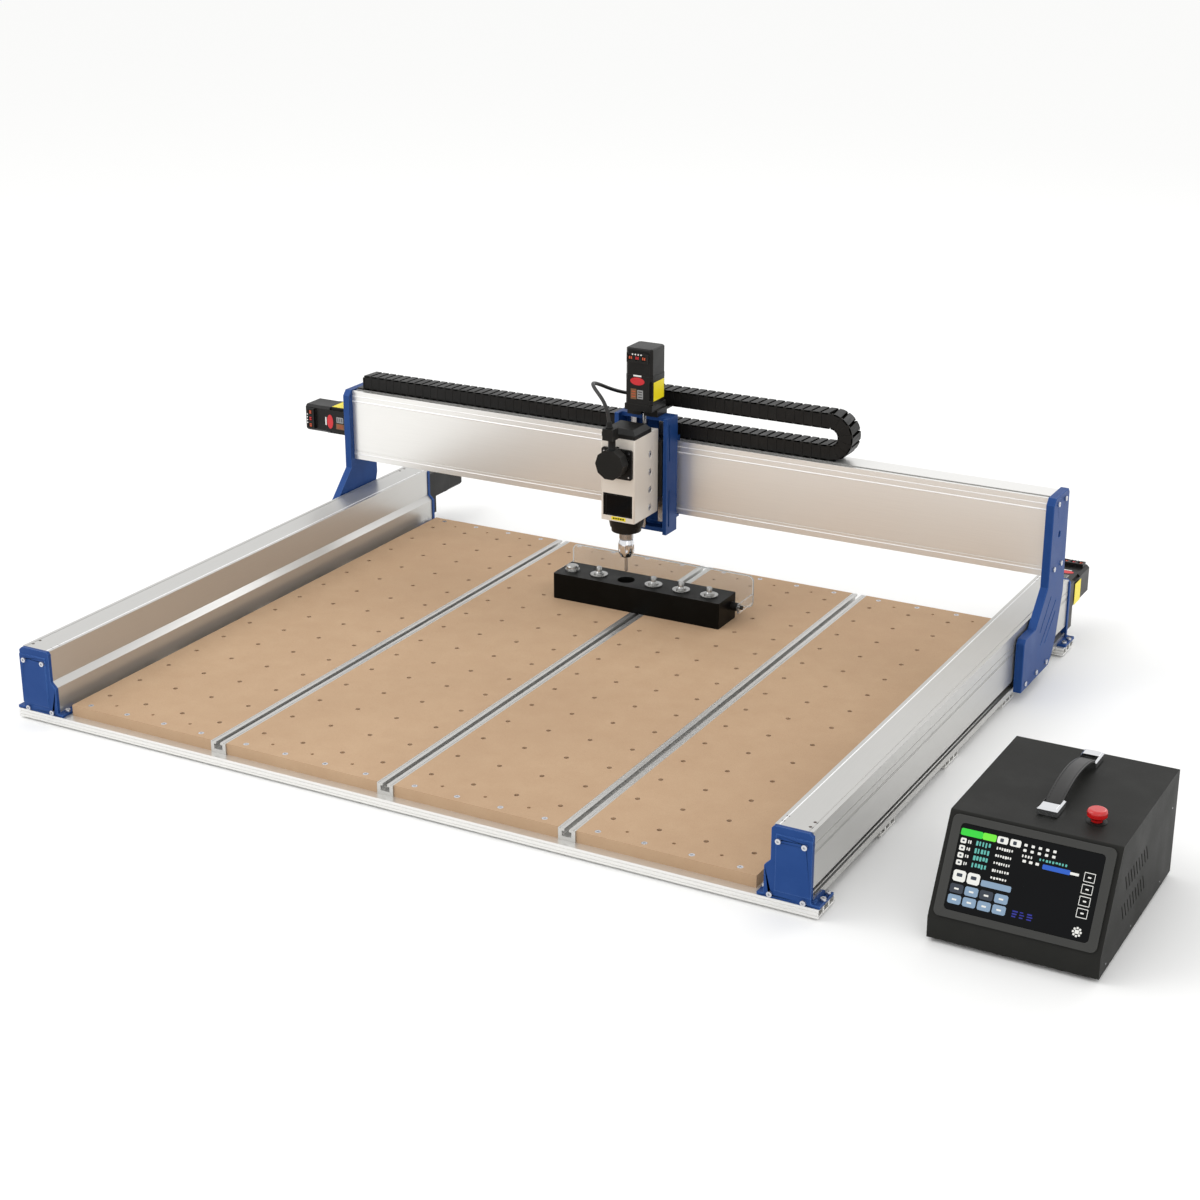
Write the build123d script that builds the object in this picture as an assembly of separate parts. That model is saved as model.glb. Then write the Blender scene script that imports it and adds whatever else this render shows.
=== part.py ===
"""Bench CNC router with its control console.

Millimetres. Origin on the bench under the middle of the base: +X right, +Y back, +Z up.
The base carries two enclosed Y rails. A gantry rides on them, and carries the X carriage,
the Z housing and the spindle. The console stands on the bench beside the machine.
"""
from build123d import *
import math
import os

os.makedirs("parts", exist_ok=True)

# Overall sizes
RAIL_LEN = 1180.0
RAIL_OUT = 738.0
FOOT_TALL = 3.0
BEAM_TALL = 15.0
BEAM_DEEP = 60.0
BOARD_THICK = 20.0
RAIL_TALL = 116.5
GANTRY_RISE = 64.5
GANTRY_TALL = 145.6
GANTRY_DEEP = 60.0
HEAD_X = -41.0

# Rails and their insides
RAIL_WIDE = 60.0
RAIL_STEP = 10.0
RAIL_WALL = 4.0
SLOT_LOW = 11.0
SLOT_HIGH = 25.0
Y_SCREW_R = 8.0
Y_SCREW_IN = 30.0
Y_SCREW_UP = 74.0
GUIDE_W = 15.0
BRACKET = 7.0

# Clearances
GAP = 3.0
RUN_FIT = 0.05
LOOSE = 0.5
BLOCK_GAP = 0.4

# Gantry, carriage and head
PLATE_THICK = 15.0
COVER_THICK = 6.0
SLIT = 8.0
X_SCREW_R = 6.0
Z_SCREW_R = 5.0
MOTOR = 57.0
MOTOR_LEN = 56.0
DRIVER_LEN = 52.0
SPINDLE_W = 71.0
SHAFT_R = 10.0
NUT_R = 15.5
BIT_R = 3.0
TIP_Z = 107.0
CHAIN_W = 40.0
MOTOR_STAND = 27.0
BACK_WALL = 16.0
CHAIN_H = 30.0
CHAIN_R = 30.5
BEND_X = 315.0

# Table
TRACK_W = 30.0
HOLE_PITCH = 79.3
HOLE_R = 3.0
BOARD_GAP = 20.6
BOARD_SET_BACK = 10.0

# Tool rack
RACK_W = 355.0
RACK_D = 74.0
RACK_H = 51.0
POCKET_PITCH = 59.0
POCKET_R = 17.0
HOLDER_R = 14.5

# Console
CON_X = 908.0
CON_W = 248.0
CON_D = 360.0
CON_H = 174.0
CON_CHIN = 38.6
CON_LEAN = 73.0
CON_FOOT = 6.0
CON_WALL = 2.5

# Levels and lines that follow from the sizes above
BASE_Z = FOOT_TALL + BEAM_TALL
TABLE_Z = BASE_Z + BOARD_THICK
RAIL_TOP = BASE_Z + RAIL_TALL
RAIL_IN = RAIL_OUT - RAIL_WIDE
RAIL_LOW_IN = RAIL_IN - RAIL_STEP
END_Y = RAIL_LEN / 2
GY = END_Y - 175.0
GZ = RAIL_TOP + GANTRY_RISE
GTOP = GZ + GANTRY_TALL
PLATE_IN = RAIL_OUT + GAP
PLATE_OUT = PLATE_IN + PLATE_THICK
HEAD_Y = GY - 110.0
BOARD_HALF = RAIL_LOW_IN - BOARD_GAP
PANEL_W = (2 * BOARD_HALF - 3 * TRACK_W) / 4
TRACKS = [-(PANEL_W + TRACK_W), 0.0, PANEL_W + TRACK_W]
Y_SCREW_X = RAIL_OUT - Y_SCREW_IN
Y_SCREW_Z = BASE_Z + Y_SCREW_UP
X_SCREW_Y = GY + GANTRY_DEEP / 2
X_SCREW_Z = GZ + GANTRY_TALL / 2
CON_Y = -END_Y + 16.0
Z_BACK = GY - 10.0
Z_SCREW_Y = GY - 36.5


def box(x0, x1, y0, y1, z0, z1):
    """A block between two corners."""
    centre = ((x0 + x1) / 2, (y0 + y1) / 2, (z0 + z1) / 2)
    return Pos(*centre) * Box(x1 - x0, y1 - y0, z1 - z0)


def rod_x(x0, x1, y, z, r):
    """A round bar along X."""
    return Pos((x0 + x1) / 2, y, z) * Rot(0, 90, 0) * Cylinder(r, x1 - x0)


def rod_y(y0, y1, x, z, r):
    """A round bar along Y."""
    return Pos(x, (y0 + y1) / 2, z) * Rot(90, 0, 0) * Cylinder(r, y1 - y0)


def rod_z(z0, z1, x, y, r):
    """A round bar along Z."""
    return Pos(x, y, (z0 + z1) / 2) * Cylinder(r, z1 - z0)


def cone_z(z0, z1, x, y, r0, r1):
    """A tapered bar along Z, r0 at the bottom and r1 at the top."""
    return Pos(x, y, (z0 + z1) / 2) * Cone(r0, r1, z1 - z0)


def prism_y(points, y0, y1):
    """A closed outline of (x, z) points carried along Y."""
    face = Plane.XZ * make_face(Polyline(*points, close=True))
    return Pos(0, y1, 0) * extrude(face, y1 - y0)


def prism_x(points, x0, x1):
    """A closed outline of (y, z) points carried along X."""
    face = Plane.YZ * make_face(Polyline(*points, close=True))
    return Pos(x0, 0, 0) * extrude(face, x1 - x0)


def both_sides(solid):
    """The solid and its twin across the machine's middle."""
    return [solid, mirror(solid, Plane.YZ)]


def left_of(solid):
    """The left twin of a right-hand piece."""
    return mirror(solid, Plane.YZ)


def save(name, *pieces):
    """One node to its own file."""
    solids = []
    for piece in pieces:
        solids.extend(piece.solids())
    shape = solids[0] if len(solids) == 1 else Compound(solids)
    shape.label = name
    export_step(shape, f"parts/{name}.step")


def ring_holes(x_list, y_list, r, z0, z1):
    """Upright holes at every crossing of the two lists."""
    return [rod_z(z0, z1, x, y, r) for x in x_list for y in y_list]


# Base --------------------------------------------------------------------------------------------
def cross_beam(y_mid, half):
    """Flat aluminium section with three hollow chambers and two grooves in each edge."""
    y0 = y_mid - BEAM_DEEP / 2
    y1 = y_mid + BEAM_DEEP / 2
    bar = box(-half, half, y0, y1, FOOT_TALL, BASE_Z)
    chamber = BEAM_DEEP / 3 - 5.0
    for i in (-1, 0, 1):
        mid = y_mid + i * BEAM_DEEP / 3
        bar -= box(-half, half, mid - chamber / 2, mid + chamber / 2, FOOT_TALL + 3, BASE_Z - 3)
    for z in (FOOT_TALL + 4.5, BASE_Z - 4.5):
        bar -= box(-half, half, y0, y0 + 1.2, z - 0.8, z + 0.8)
        bar -= box(-half, half, y1 - 1.2, y1, z - 0.8, z + 0.8)
    return bar


def foot_pads():
    """Rubber pads: three under the front, middle and rear beams."""
    pads = []
    for y in (-END_Y + 22.0, 0.0, END_Y - 22.0):
        for x in (-RAIL_OUT + 28.0, 0.0, RAIL_OUT - 28.0):
            pads.append(rod_z(0, FOOT_TALL, x, y, 20.0))
    return pads


BEAM_MID = END_Y + 8.0 - BEAM_DEEP / 2
end_beams = [cross_beam(y, RAIL_OUT + 15) for y in (-BEAM_MID, BEAM_MID)]
inner_beams = [cross_beam(y, RAIL_OUT - 4) for y in (-END_Y * 0.48, 0.0, END_Y * 0.48)]
save("base_beams", *end_beams, *inner_beams)
save("foot_pads", *foot_pads())

# Table -------------------------------------------------------------------------------------------
BOARD_Y0 = -END_Y + BOARD_SET_BACK
BOARD_Y1 = END_Y - BOARD_SET_BACK - 6.0
GRID_Y0 = BOARD_Y0 + 63.0
ROWS = int((BOARD_Y1 - 45.0 - GRID_Y0) / HOLE_PITCH) + 1
SCREW_ROWS = [BOARD_Y0 + 14.0, BOARD_Y1 - 14.0]


def panel_middle(index):
    """The X of a board's middle line."""
    return -BOARD_HALF + PANEL_W / 2 + index * (PANEL_W + TRACK_W)


def columns(middle):
    """The X of the four hole columns of a board."""
    return [middle + (i - 1.5) * HOLE_PITCH - 1.5 for i in range(4)]


def grid_rows():
    """The Y of every row of work holes."""
    return [GRID_Y0 + i * HOLE_PITCH for i in range(ROWS)]


def countersink(x, y, r, extra):
    """A screw head: a cone with a short shank under it."""
    head = cone_z(TABLE_Z - 3.5, TABLE_Z - 0.2, x, y, 2.2 + extra, r + extra)
    return head + rod_z(TABLE_Z - 16, TABLE_Z - 3.5, x, y, 2.2 + extra)


def board(index):
    """One board with its grid of holes, the odd rows near its ends and the sunk screw holes."""
    middle = panel_middle(index)
    half = PANEL_W / 2 - 0.15
    slab = box(middle - half, middle + half, BOARD_Y0, BOARD_Y1, BASE_Z, TABLE_Z)
    cuts = ring_holes(columns(middle), grid_rows(), HOLE_R, BASE_Z - 1, TABLE_Z + 1)
    between = [x + HOLE_PITCH / 2 for x in columns(middle)[:3]]
    odd_rows = [BOARD_Y0 + 34.0, BOARD_Y1 - 34.0]
    cuts += ring_holes(between, odd_rows, HOLE_R, BASE_Z - 1, TABLE_Z + 1)
    for x in columns(middle):
        for y in SCREW_ROWS:
            cuts.append(rod_z(TABLE_Z - 16.3, TABLE_Z - 3, x, y, 2.35))
            cuts.append(cone_z(TABLE_Z - 3.7, TABLE_Z + 0.2, x, y, 2.3, 5.4))
    return slab - cuts


def table_screws():
    """The flat-head screws that hold the boards down."""
    found = []
    for index in range(4):
        for x in columns(panel_middle(index)):
            for y in SCREW_ROWS:
                head = countersink(x, y, 4.8, 0.0)
                head -= box(x - 3, x + 3, y - 0.6, y + 0.6, TABLE_Z - 1.2, TABLE_Z)
                head -= box(x - 0.6, x + 0.6, y - 3, y + 3, TABLE_Z - 1.2, TABLE_Z)
                found.append(head)
    return found


def t_track(x):
    """An aluminium T-slot rail flush with the boards."""
    half = TRACK_W / 2
    bar = box(x - half, x + half, BOARD_Y0 - 3, BOARD_Y1, BASE_Z, TABLE_Z)
    bar -= box(x - 4.2, x + 4.2, BOARD_Y0 - 4, BOARD_Y1 + 1, TABLE_Z - 5, TABLE_Z + 1)
    bar -= box(x - 8.5, x + 8.5, BOARD_Y0 - 4, BOARD_Y1 + 1, TABLE_Z - 13, TABLE_Z - 4)
    for side in (-1, 1):
        at = x + side * 11.6
        bar -= box(at - 0.7, at + 0.7, BOARD_Y0 - 4, BOARD_Y1 + 1, TABLE_Z - 0.8, TABLE_Z + 1)
    return bar


save("spoilboards", *[board(index) for index in range(4)])
save("board_screws", *table_screws())
save("t_tracks", *[t_track(x) for x in TRACKS])

# Y rails -----------------------------------------------------------------------------------------
PORTS = [
    (RAIL_IN + 10.5, BASE_Z + 95.0),
    (RAIL_OUT - 8.5, BASE_Z + 95.0),
    (RAIL_LOW_IN + 8.5, BASE_Z + 6.5),
    (RAIL_OUT - 8.5, BASE_Z + 5.5),
]
STEP_Z = BASE_Z + 51.0


def rail_outline(inset):
    """The rail's section: wider towards the table below the bevelled step."""
    slope = inset * 0.6
    return [
        (RAIL_OUT - inset, BASE_Z + inset),
        (RAIL_OUT - inset, RAIL_TOP - inset),
        (RAIL_IN + inset, RAIL_TOP - inset),
        (RAIL_IN + inset, STEP_Z + RAIL_STEP - slope),
        (RAIL_LOW_IN + inset, STEP_Z - slope),
        (RAIL_LOW_IN + inset, BASE_Z + inset),
    ]


def right_rail():
    """Hollow rail with screw ports, a slot for the gantry's foot, and shallow grooves."""
    y0, y1 = -END_Y, END_Y
    rail = prism_y(rail_outline(0), y0, y1) - prism_y(rail_outline(RAIL_WALL), y0 - 1, y1 + 1)
    for x, z in PORTS:
        rail += rod_y(y0, y1, x, z, 4.8) & prism_y(rail_outline(1.0), y0, y1)
    rail -= [rod_y(y0 - 1, y0 + 30, x, z, 2.5) for x, z in PORTS]
    rail -= [rod_y(y1 - 30, y1 + 1, x, z, 2.5) for x, z in PORTS]
    rail -= box(RAIL_OUT - 6, RAIL_OUT + 1, y0 - 1, y1 + 1, BASE_Z + SLOT_LOW, BASE_Z + SLOT_HIGH)
    for x in (RAIL_IN + 7.0, RAIL_OUT - 7.0):
        rail -= box(x - 0.6, x + 0.6, y0 - 1, y1 + 1, RAIL_TOP - 0.8, RAIL_TOP + 1)
    for z in (RAIL_TOP - 22.0, RAIL_TOP - 34.0, RAIL_TOP - 37.0):
        rail -= box(RAIL_OUT - 0.8, RAIL_OUT + 1, y0 - 1, y1 + 1, z - 0.6, z + 0.6)
    for y in (y0 + 14, y0 + 31, y1 - 14, y1 - 31):
        for x in (RAIL_IN + 7.0, RAIL_OUT - 11.0):
            rail -= rod_z(RAIL_TOP - RAIL_WALL - 1, RAIL_TOP + 1, x, y, 2.6)
    return rail


GUIDE_Z = BASE_Z + 33.5
GUIDE_X = RAIL_LOW_IN + RAIL_WALL


def y_guide():
    """A straight guide bar on the rail's inner wall."""
    y = END_Y - 18.0
    return box(GUIDE_X, GUIDE_X + 12, -y, y, GUIDE_Z - GUIDE_W / 2, GUIDE_Z + GUIDE_W / 2)


def y_bearing(y0, y1):
    """The block that carries one end of a Y screw."""
    block = box(Y_SCREW_X - 11, RAIL_OUT - RAIL_WALL, y0, y1, Y_SCREW_Z - 14, RAIL_TOP - RAIL_WALL)
    block -= rod_y(y0 - 1, y1 + 1, Y_SCREW_X, Y_SCREW_Z, Y_SCREW_R + RUN_FIT)
    port_x, port_z = PORTS[1]
    return block - box(port_x - 6, RAIL_OUT, y0 - 1, y1 + 1, port_z - 6, port_z + 6)


def y_screw():
    """The right ball screw, from its front bearing to the motor."""
    return rod_y(-END_Y + 3, END_Y + BRACKET + MOTOR_STAND - 1, Y_SCREW_X, Y_SCREW_Z, Y_SCREW_R)


rail = right_rail()
save("y_rails", rail, left_of(rail))
save("y_guides", *both_sides(y_guide()))
bearings = [y_bearing(-END_Y + 2, -END_Y + 16), y_bearing(END_Y - 16, END_Y - 2)]
save("y_bearings", *bearings, *[left_of(b) for b in bearings])
save("right_y_screw", y_screw())
save("left_y_screw", left_of(y_screw()))

# Rail brackets -----------------------------------------------------------------------------------
EAR = 17.0
BOLT_R = 2.4


def button_bolt(x, y, z, out):
    """A socket-head bolt along Y whose head sits at y and points along out."""
    head = rod_y(min(y, y + out * 4), max(y, y + out * 4), x, z, 4.4)
    head -= rod_y(min(y + out * 2, y + out * 5), max(y + out * 2, y + out * 5), x, z, 2.0)
    return head + rod_y(min(y, y - out * 18), max(y, y - out * 18), x, z, BOLT_R)


def bracket_outline():
    """The end plate's outline, with its outer top corner cut off."""
    return [
        (RAIL_OUT + 3, BASE_Z),
        (RAIL_OUT + 3, RAIL_TOP - 5),
        (RAIL_OUT - 3, RAIL_TOP),
        (RAIL_IN + 2, RAIL_TOP),
        (RAIL_IN - 2, RAIL_TOP - 4),
        (RAIL_IN - 2, STEP_Z + RAIL_STEP),
        (RAIL_LOW_IN - 2, STEP_Z),
        (RAIL_LOW_IN - 2, BASE_Z),
    ]


def front_bracket():
    """The right front end plate with a raised field and two bolt-down ears."""
    y0, y1 = -END_Y - BRACKET, -END_Y
    plate = prism_y(bracket_outline(), y0, y1)
    plate += box(RAIL_IN + 6, RAIL_OUT + 3, y0 - 1.5, y0, BASE_Z + 14, RAIL_TOP - 12)
    ear_y1 = -END_Y + 44
    plate += box(RAIL_LOW_IN - 13, RAIL_OUT + EAR, y0, y1, BASE_Z, BASE_Z + 5)
    plate += box(RAIL_LOW_IN - 13, RAIL_LOW_IN, y1 - 1, ear_y1, BASE_Z, BASE_Z + 5)
    plate += box(RAIL_OUT, RAIL_OUT + EAR, y1 - 1, ear_y1, BASE_Z, BASE_Z + 5)
    for x in (RAIL_OUT + 4, RAIL_OUT + 10):
        plate += box(x, x + 2.5, y1 - 1, y1 + 8, BASE_Z, BASE_Z + 12 - (x - RAIL_OUT))
    plate -= [rod_y(y0 - 5, y1 + 1, x, z, BOLT_R + 0.2) for x, z in PORTS]
    for x, y in ear_holes():
        plate -= rod_z(BASE_Z - 1, BASE_Z + 6, x, y, BOLT_R + 0.2)
    return plate


def ear_holes():
    """Where a front bracket is bolted down to the beam."""
    return [
        (RAIL_LOW_IN - 8, -END_Y + 12),
        (RAIL_OUT + 11, -END_Y + 36),
        (RAIL_OUT + 13, -END_Y + 14),
    ]


def rear_bracket():
    """The right rear end plate: the front one turned round, with a hole for the screw."""
    plate = mirror(front_bracket(), Plane.XZ)
    return plate - rod_y(END_Y - 1, END_Y + 12, Y_SCREW_X, Y_SCREW_Z, Y_SCREW_R + 1)


def bracket_bolts():
    """Every bolt of the four brackets."""
    face = -END_Y - BRACKET
    front = []
    for i, (x, z) in enumerate(PORTS):
        lift = 1.5 if i in (0, 1) else 0.0
        front.append(button_bolt(x, face - lift, z, -1))
    for x, y in ear_holes():
        bolt = rod_z(BASE_Z + 5, BASE_Z + 9, x, y, 4.4) - rod_z(BASE_Z + 7, BASE_Z + 10, x, y, 2.0)
        front.append(bolt + rod_z(BASE_Z + 0.2, BASE_Z + 5, x, y, BOLT_R))
    right = front + [mirror(b, Plane.XZ) for b in front]
    return right + [left_of(b) for b in right]


front = front_bracket()
rear = rear_bracket()
save("end_brackets", front, left_of(front), rear, left_of(rear))
save("bracket_bolts", *bracket_bolts())


# Motors ------------------------------------------------------------------------------------------
def motor_can(length):
    """A square stepper motor body standing on z = 0, with clipped corners and end flanges."""
    body = Box(MOTOR, MOTOR, length, align=(Align.CENTER, Align.CENTER, Align.MIN))
    body = chamfer(body.edges().filter_by(Axis.Z), 5.0)
    for x in (-1, 1):
        for y in (-1, 1):
            cut = Pos(x * MOTOR / 2, y * MOTOR / 2, length / 2) * Box(11, 11, length - 20)
            body -= cut
    return body


def motor_driver(length, bulge):
    """The driver housing on a motor's back, with its sockets on the -Y side."""
    body = Box(MOTOR - 1, MOTOR - 1, length, align=(Align.CENTER, Align.CENTER, Align.MIN))
    body = chamfer(body.edges().filter_by(Axis.Z), 5.0)
    body = chamfer(body.faces().sort_by(Axis.Z)[-1].edges(), 2.0)
    front_y = -(MOTOR - 1) / 2
    block = Pos(0, front_y - bulge / 2, length - 17) * Box(44, bulge, 18)
    for i in range(3):
        block -= Pos(-14 + i * 14, front_y - bulge, length - 17) * Box(9, 6, 11)
    return body + block


def on_z(shape, x, y, z):
    """Place a motor part whose axis is upright."""
    return Pos(x, y, z) * shape


def pointing_back(shape, x, y, z):
    """Place a motor part whose axis points along +Y, sockets up."""
    return Pos(x, y, z) * Rot(-90, 0, 0) * shape


def pointing_left(shape, x, y, z):
    """Place a motor part whose axis points along -X, sockets to the front."""
    return Pos(x, y, z) * Rot(0, -90, 0) * shape


Y_MOTOR_Y = END_Y + BRACKET + MOTOR_STAND
motor = [motor_can(MOTOR_LEN), Pos(0, 0, MOTOR_LEN) * motor_driver(DRIVER_LEN, 7.0)]
right_y = [pointing_back(piece, Y_SCREW_X, Y_MOTOR_Y, Y_SCREW_Z) for piece in motor]


def y_motor_plate():
    """The black plate between a rear bracket and its motor."""
    low = BASE_Z + 5
    plate = box(RAIL_IN + 1, RAIL_OUT + 1, END_Y + BRACKET + 1.5, Y_MOTOR_Y, low + 8, Y_SCREW_Z + 30)
    hole = rod_y(END_Y, Y_MOTOR_Y + 1, Y_SCREW_X, Y_SCREW_Z, Y_SCREW_R + 1)
    clear = [rod_y(END_Y, Y_MOTOR_Y + 1, x, z, 5.2) for x, z in PORTS]
    return plate - hole - clear


save("y_motors", *right_y, *[left_of(piece) for piece in right_y], *both_sides(y_motor_plate()))

# Gantry ------------------------------------------------------------------------------------------
SIDE_LOW = BASE_Z + 5.0
SADDLE_LOW = BASE_Z + SLOT_LOW + 2
SADDLE_HIGH = BASE_Z + SLOT_HIGH - 2
SADDLE_Y0 = GY - 123.0
SADDLE_Y1 = GY + 16.0


def plate_outline():
    """The gantry side plate seen from the side, as (y, z) points."""
    return [
        (GY - 129, SIDE_LOW),
        (GY - 129, RAIL_TOP - 19),
        (GY - 122, RAIL_TOP - 12),
        (GY - 70, RAIL_TOP - 12),
        (GY - 13, GZ - 17),
        (GY - 13, GTOP - 9),
        (GY - 3, GTOP + 2),
        (GY + 68, GTOP + 2),
        (GY + 74, GTOP - 5),
        (GY + 80, GZ - 49),
        (GY + 56, GZ - 130),
        (GY + 40, GZ - 160),
        (GY + 22, SIDE_LOW),
    ]


BEAM_BOLTS = [(GY + 10, GTOP - 12), (GY + 50, GTOP - 12), (GY + 10, GZ + 12), (GY + 50, GZ + 12)]
FOOT_BOLTS = [(GY - 112, SADDLE_LOW + 5), (GY - 52, SADDLE_LOW + 5), (GY + 4, SADDLE_LOW + 5)]
SLANTS = [(10, -39, -42, -91), (41, -54, -35, -118), (41, -77, -11, -122)]


def side_plate():
    """The right side plate, with three slanted grooves, a screw hole and clipped edges."""
    plate = prism_x(plate_outline(), PLATE_IN, PLATE_OUT)
    plate = chamfer(plate.faces().sort_by(Axis.X)[-1].outer_wire().edges(), 1.2)
    for y0, z0, y1, z1 in SLANTS:
        run = math.hypot(y1 - y0, z1 - z0)
        tilt = math.degrees(math.atan2(z1 - z0, y1 - y0))
        mid = ((y0 + y1) / 2 + GY, (z0 + z1) / 2 + GZ)
        groove = Pos(PLATE_OUT, mid[0], mid[1]) * Rot(tilt, 0, 0) * Box(5, run, 3.2)
        plate -= groove
    plate -= rod_x(PLATE_IN - 1, PLATE_OUT + 1, X_SCREW_Y, X_SCREW_Z, X_SCREW_R + LOOSE)
    for y, z in BEAM_BOLTS + FOOT_BOLTS:
        plate -= rod_x(PLATE_IN - 1, PLATE_OUT + 1, y, z, 2.7)
    return plate


def side_bolts():
    """The bolts through a side plate into the gantry beam and the saddle."""
    bolts = []
    for y, z in BEAM_BOLTS + FOOT_BOLTS:
        head = rod_x(PLATE_OUT, PLATE_OUT + 3, y, z, 4.6) - rod_x(PLATE_OUT + 1, PLATE_OUT + 4, y, z, 2)
        bolts.append(head + rod_x(PLATE_IN + 0.2, PLATE_OUT, y, z, 2.5))
    return bolts


def saddle():
    """The foot that reaches through the rail's slot to the guide blocks and the screw nut."""
    inner = GUIDE_X + 22
    arm = box(inner, PLATE_IN, SADDLE_Y0, SADDLE_Y1, SADDLE_LOW, SADDLE_HIGH)
    web = box(inner, inner + 8, SADDLE_Y0, SADDLE_Y1, SADDLE_LOW, Y_SCREW_Z - 9)
    mid = (SADDLE_Y0 + SADDLE_Y1) / 2
    nut = box(inner, Y_SCREW_X + 12, mid - 25, mid + 25, Y_SCREW_Z - 12, Y_SCREW_Z + 12)
    bore = rod_y(mid - 26, mid + 26, Y_SCREW_X, Y_SCREW_Z, Y_SCREW_R + RUN_FIT)
    whole = arm + web + nut - bore
    return whole - [rod_x(PLATE_IN - 6, PLATE_IN + 1, y, z, 2.7) for y, z in FOOT_BOLTS]


def y_block(y0):
    """A carriage block that wraps three sides of a Y guide."""
    half = GUIDE_W / 2
    block = box(GUIDE_X + 4, GUIDE_X + 22, y0, y0 + 52, GUIDE_Z - 17, GUIDE_Z + 17)
    slot = half + BLOCK_GAP
    top = GUIDE_X + 12 + BLOCK_GAP
    return block - box(GUIDE_X, top, y0 - 1, y0 + 53, GUIDE_Z - slot, GUIDE_Z + slot)


def gantry_beam():
    """The hollow beam behind the cover, with flanges that leave a slit above and below."""
    half = PLATE_IN
    y0, y1 = GY + COVER_THICK + SLIT, GY + GANTRY_DEEP
    back = y1 - BACK_WALL
    beam = box(-half, half, back, y1, GZ, GTOP)
    beam += box(-half, half, y0, back, GTOP - 8, GTOP)
    beam += box(-half, half, y0, back, GZ, GZ + 8)
    room = (GANTRY_TALL - 16) / 3
    for i in range(3):
        low = GZ + 4 + i * (room + 4)
        beam -= box(-half - 1, half + 1, back + 4, y1 - 4, low, low + room)
    for y, z in BEAM_BOLTS:
        beam += rod_x(-half, -half + 40, y, z, 4.6) & box(-half, half, y0, y1, GZ, GTOP)
    for z in (GTOP - 30, GZ + 30):
        beam -= box(-half - 1, half + 1, y1 - 0.8, y1 + 1, z - 0.7, z + 0.7)
    return beam


def gantry_cover():
    """The flat front of the beam, with raised and sunk lines along it."""
    cover = box(-PLATE_IN, PLATE_IN, GY, GY + COVER_THICK, GZ, GTOP)
    for z in (GTOP - 11, GTOP - 22, GZ + 18, GZ + 11):
        cover -= box(-PLATE_IN - 1, PLATE_IN + 1, GY - 1, GY + 1.0, z - 0.9, z + 0.9)
    return cover


def x_guide(z):
    """A guide bar on the front of the beam's back wall."""
    back = GY + GANTRY_DEEP - BACK_WALL
    return box(-PLATE_IN + 6, PLATE_IN - 6, back - 9, back, z - GUIDE_W / 2, z + GUIDE_W / 2)


X_GUIDES = [X_SCREW_Z - 34, X_SCREW_Z + 34]
plate = side_plate()
foot = saddle()
blocks = [y_block(SADDLE_Y0 + 6), y_block(SADDLE_Y1 - 58)]
save("side_plates", plate, left_of(plate))
save("side_plate_bolts", *side_bolts(), *[left_of(b) for b in side_bolts()])
save("saddles", foot, left_of(foot))
save("y_blocks", *blocks, *[left_of(b) for b in blocks])
save("gantry_beam", gantry_beam())
save("gantry_cover", gantry_cover())
save("x_guides", *[x_guide(z) for z in X_GUIDES])
save("x_screw", rod_x(-PLATE_OUT + 1, PLATE_OUT - 4, X_SCREW_Y, X_SCREW_Z, X_SCREW_R))
save("x_motor", *[pointing_left(piece, -PLATE_OUT, X_SCREW_Y, X_SCREW_Z) for piece in motor])

# Energy chain ------------------------------------------------------------------------------------
CHAIN_Y0 = GY + 17.0
CHAIN_Y1 = CHAIN_Y0 + CHAIN_W
CHAIN_Z = GTOP + 0.5
CHAIN_TOP = CHAIN_Z + 2 * CHAIN_R
CHAIN_LEFT = -PLATE_IN + 20.0
CHAIN_END = HEAD_X - 40.0


def chain_run(x0, x1, z0):
    """A straight run of hollow links."""
    run = box(x0, x1, CHAIN_Y0, CHAIN_Y1, z0, z0 + CHAIN_H)
    return run - box(x0 - 1, x1 + 1, CHAIN_Y0 + 3, CHAIN_Y1 - 3, z0 + 3, z0 + CHAIN_H - 3)


def chain_bend():
    """The half turn between the lower and the upper run."""
    z = CHAIN_Z + CHAIN_H / 2 + CHAIN_R
    big = CHAIN_R + CHAIN_H / 2
    small = CHAIN_R - CHAIN_H / 2
    y0, y1 = CHAIN_Y0, CHAIN_Y1
    turn = rod_y(y0, y1, BEND_X, z, big) - rod_y(y0 - 1, y1 + 1, BEND_X, z, small)
    hollow = rod_y(y0 + 3, y1 - 3, BEND_X, z, big - 3) - rod_y(y0, y1, BEND_X, z, small + 3)
    return (turn - hollow) & box(BEND_X + 0.4, BEND_X + 80, y0 - 1, y1 + 1, z - 80, z + 80)


def chain_anchor():
    """The bent plate on the beam that holds the chain's fixed end."""
    foot = box(CHAIN_LEFT - 18, CHAIN_LEFT - 1, CHAIN_Y0, CHAIN_Y1, GTOP, GTOP + 3)
    return foot + box(CHAIN_LEFT - 4, CHAIN_LEFT - 1, CHAIN_Y0, CHAIN_Y1, GTOP, GTOP + 26)


save("chain_anchor", chain_anchor())
save("chain_lower", chain_run(CHAIN_LEFT, BEND_X, CHAIN_Z))
save("chain_bend", chain_bend())
save("chain_upper", chain_run(CHAIN_END, BEND_X, CHAIN_TOP))

# X carriage --------------------------------------------------------------------------------------
RING_W = 50.0
INNER_Y0 = GY + COVER_THICK + 1
INNER_Y1 = GY + COVER_THICK + SLIT - 1
RING_TOP = GTOP + 2.5


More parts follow.
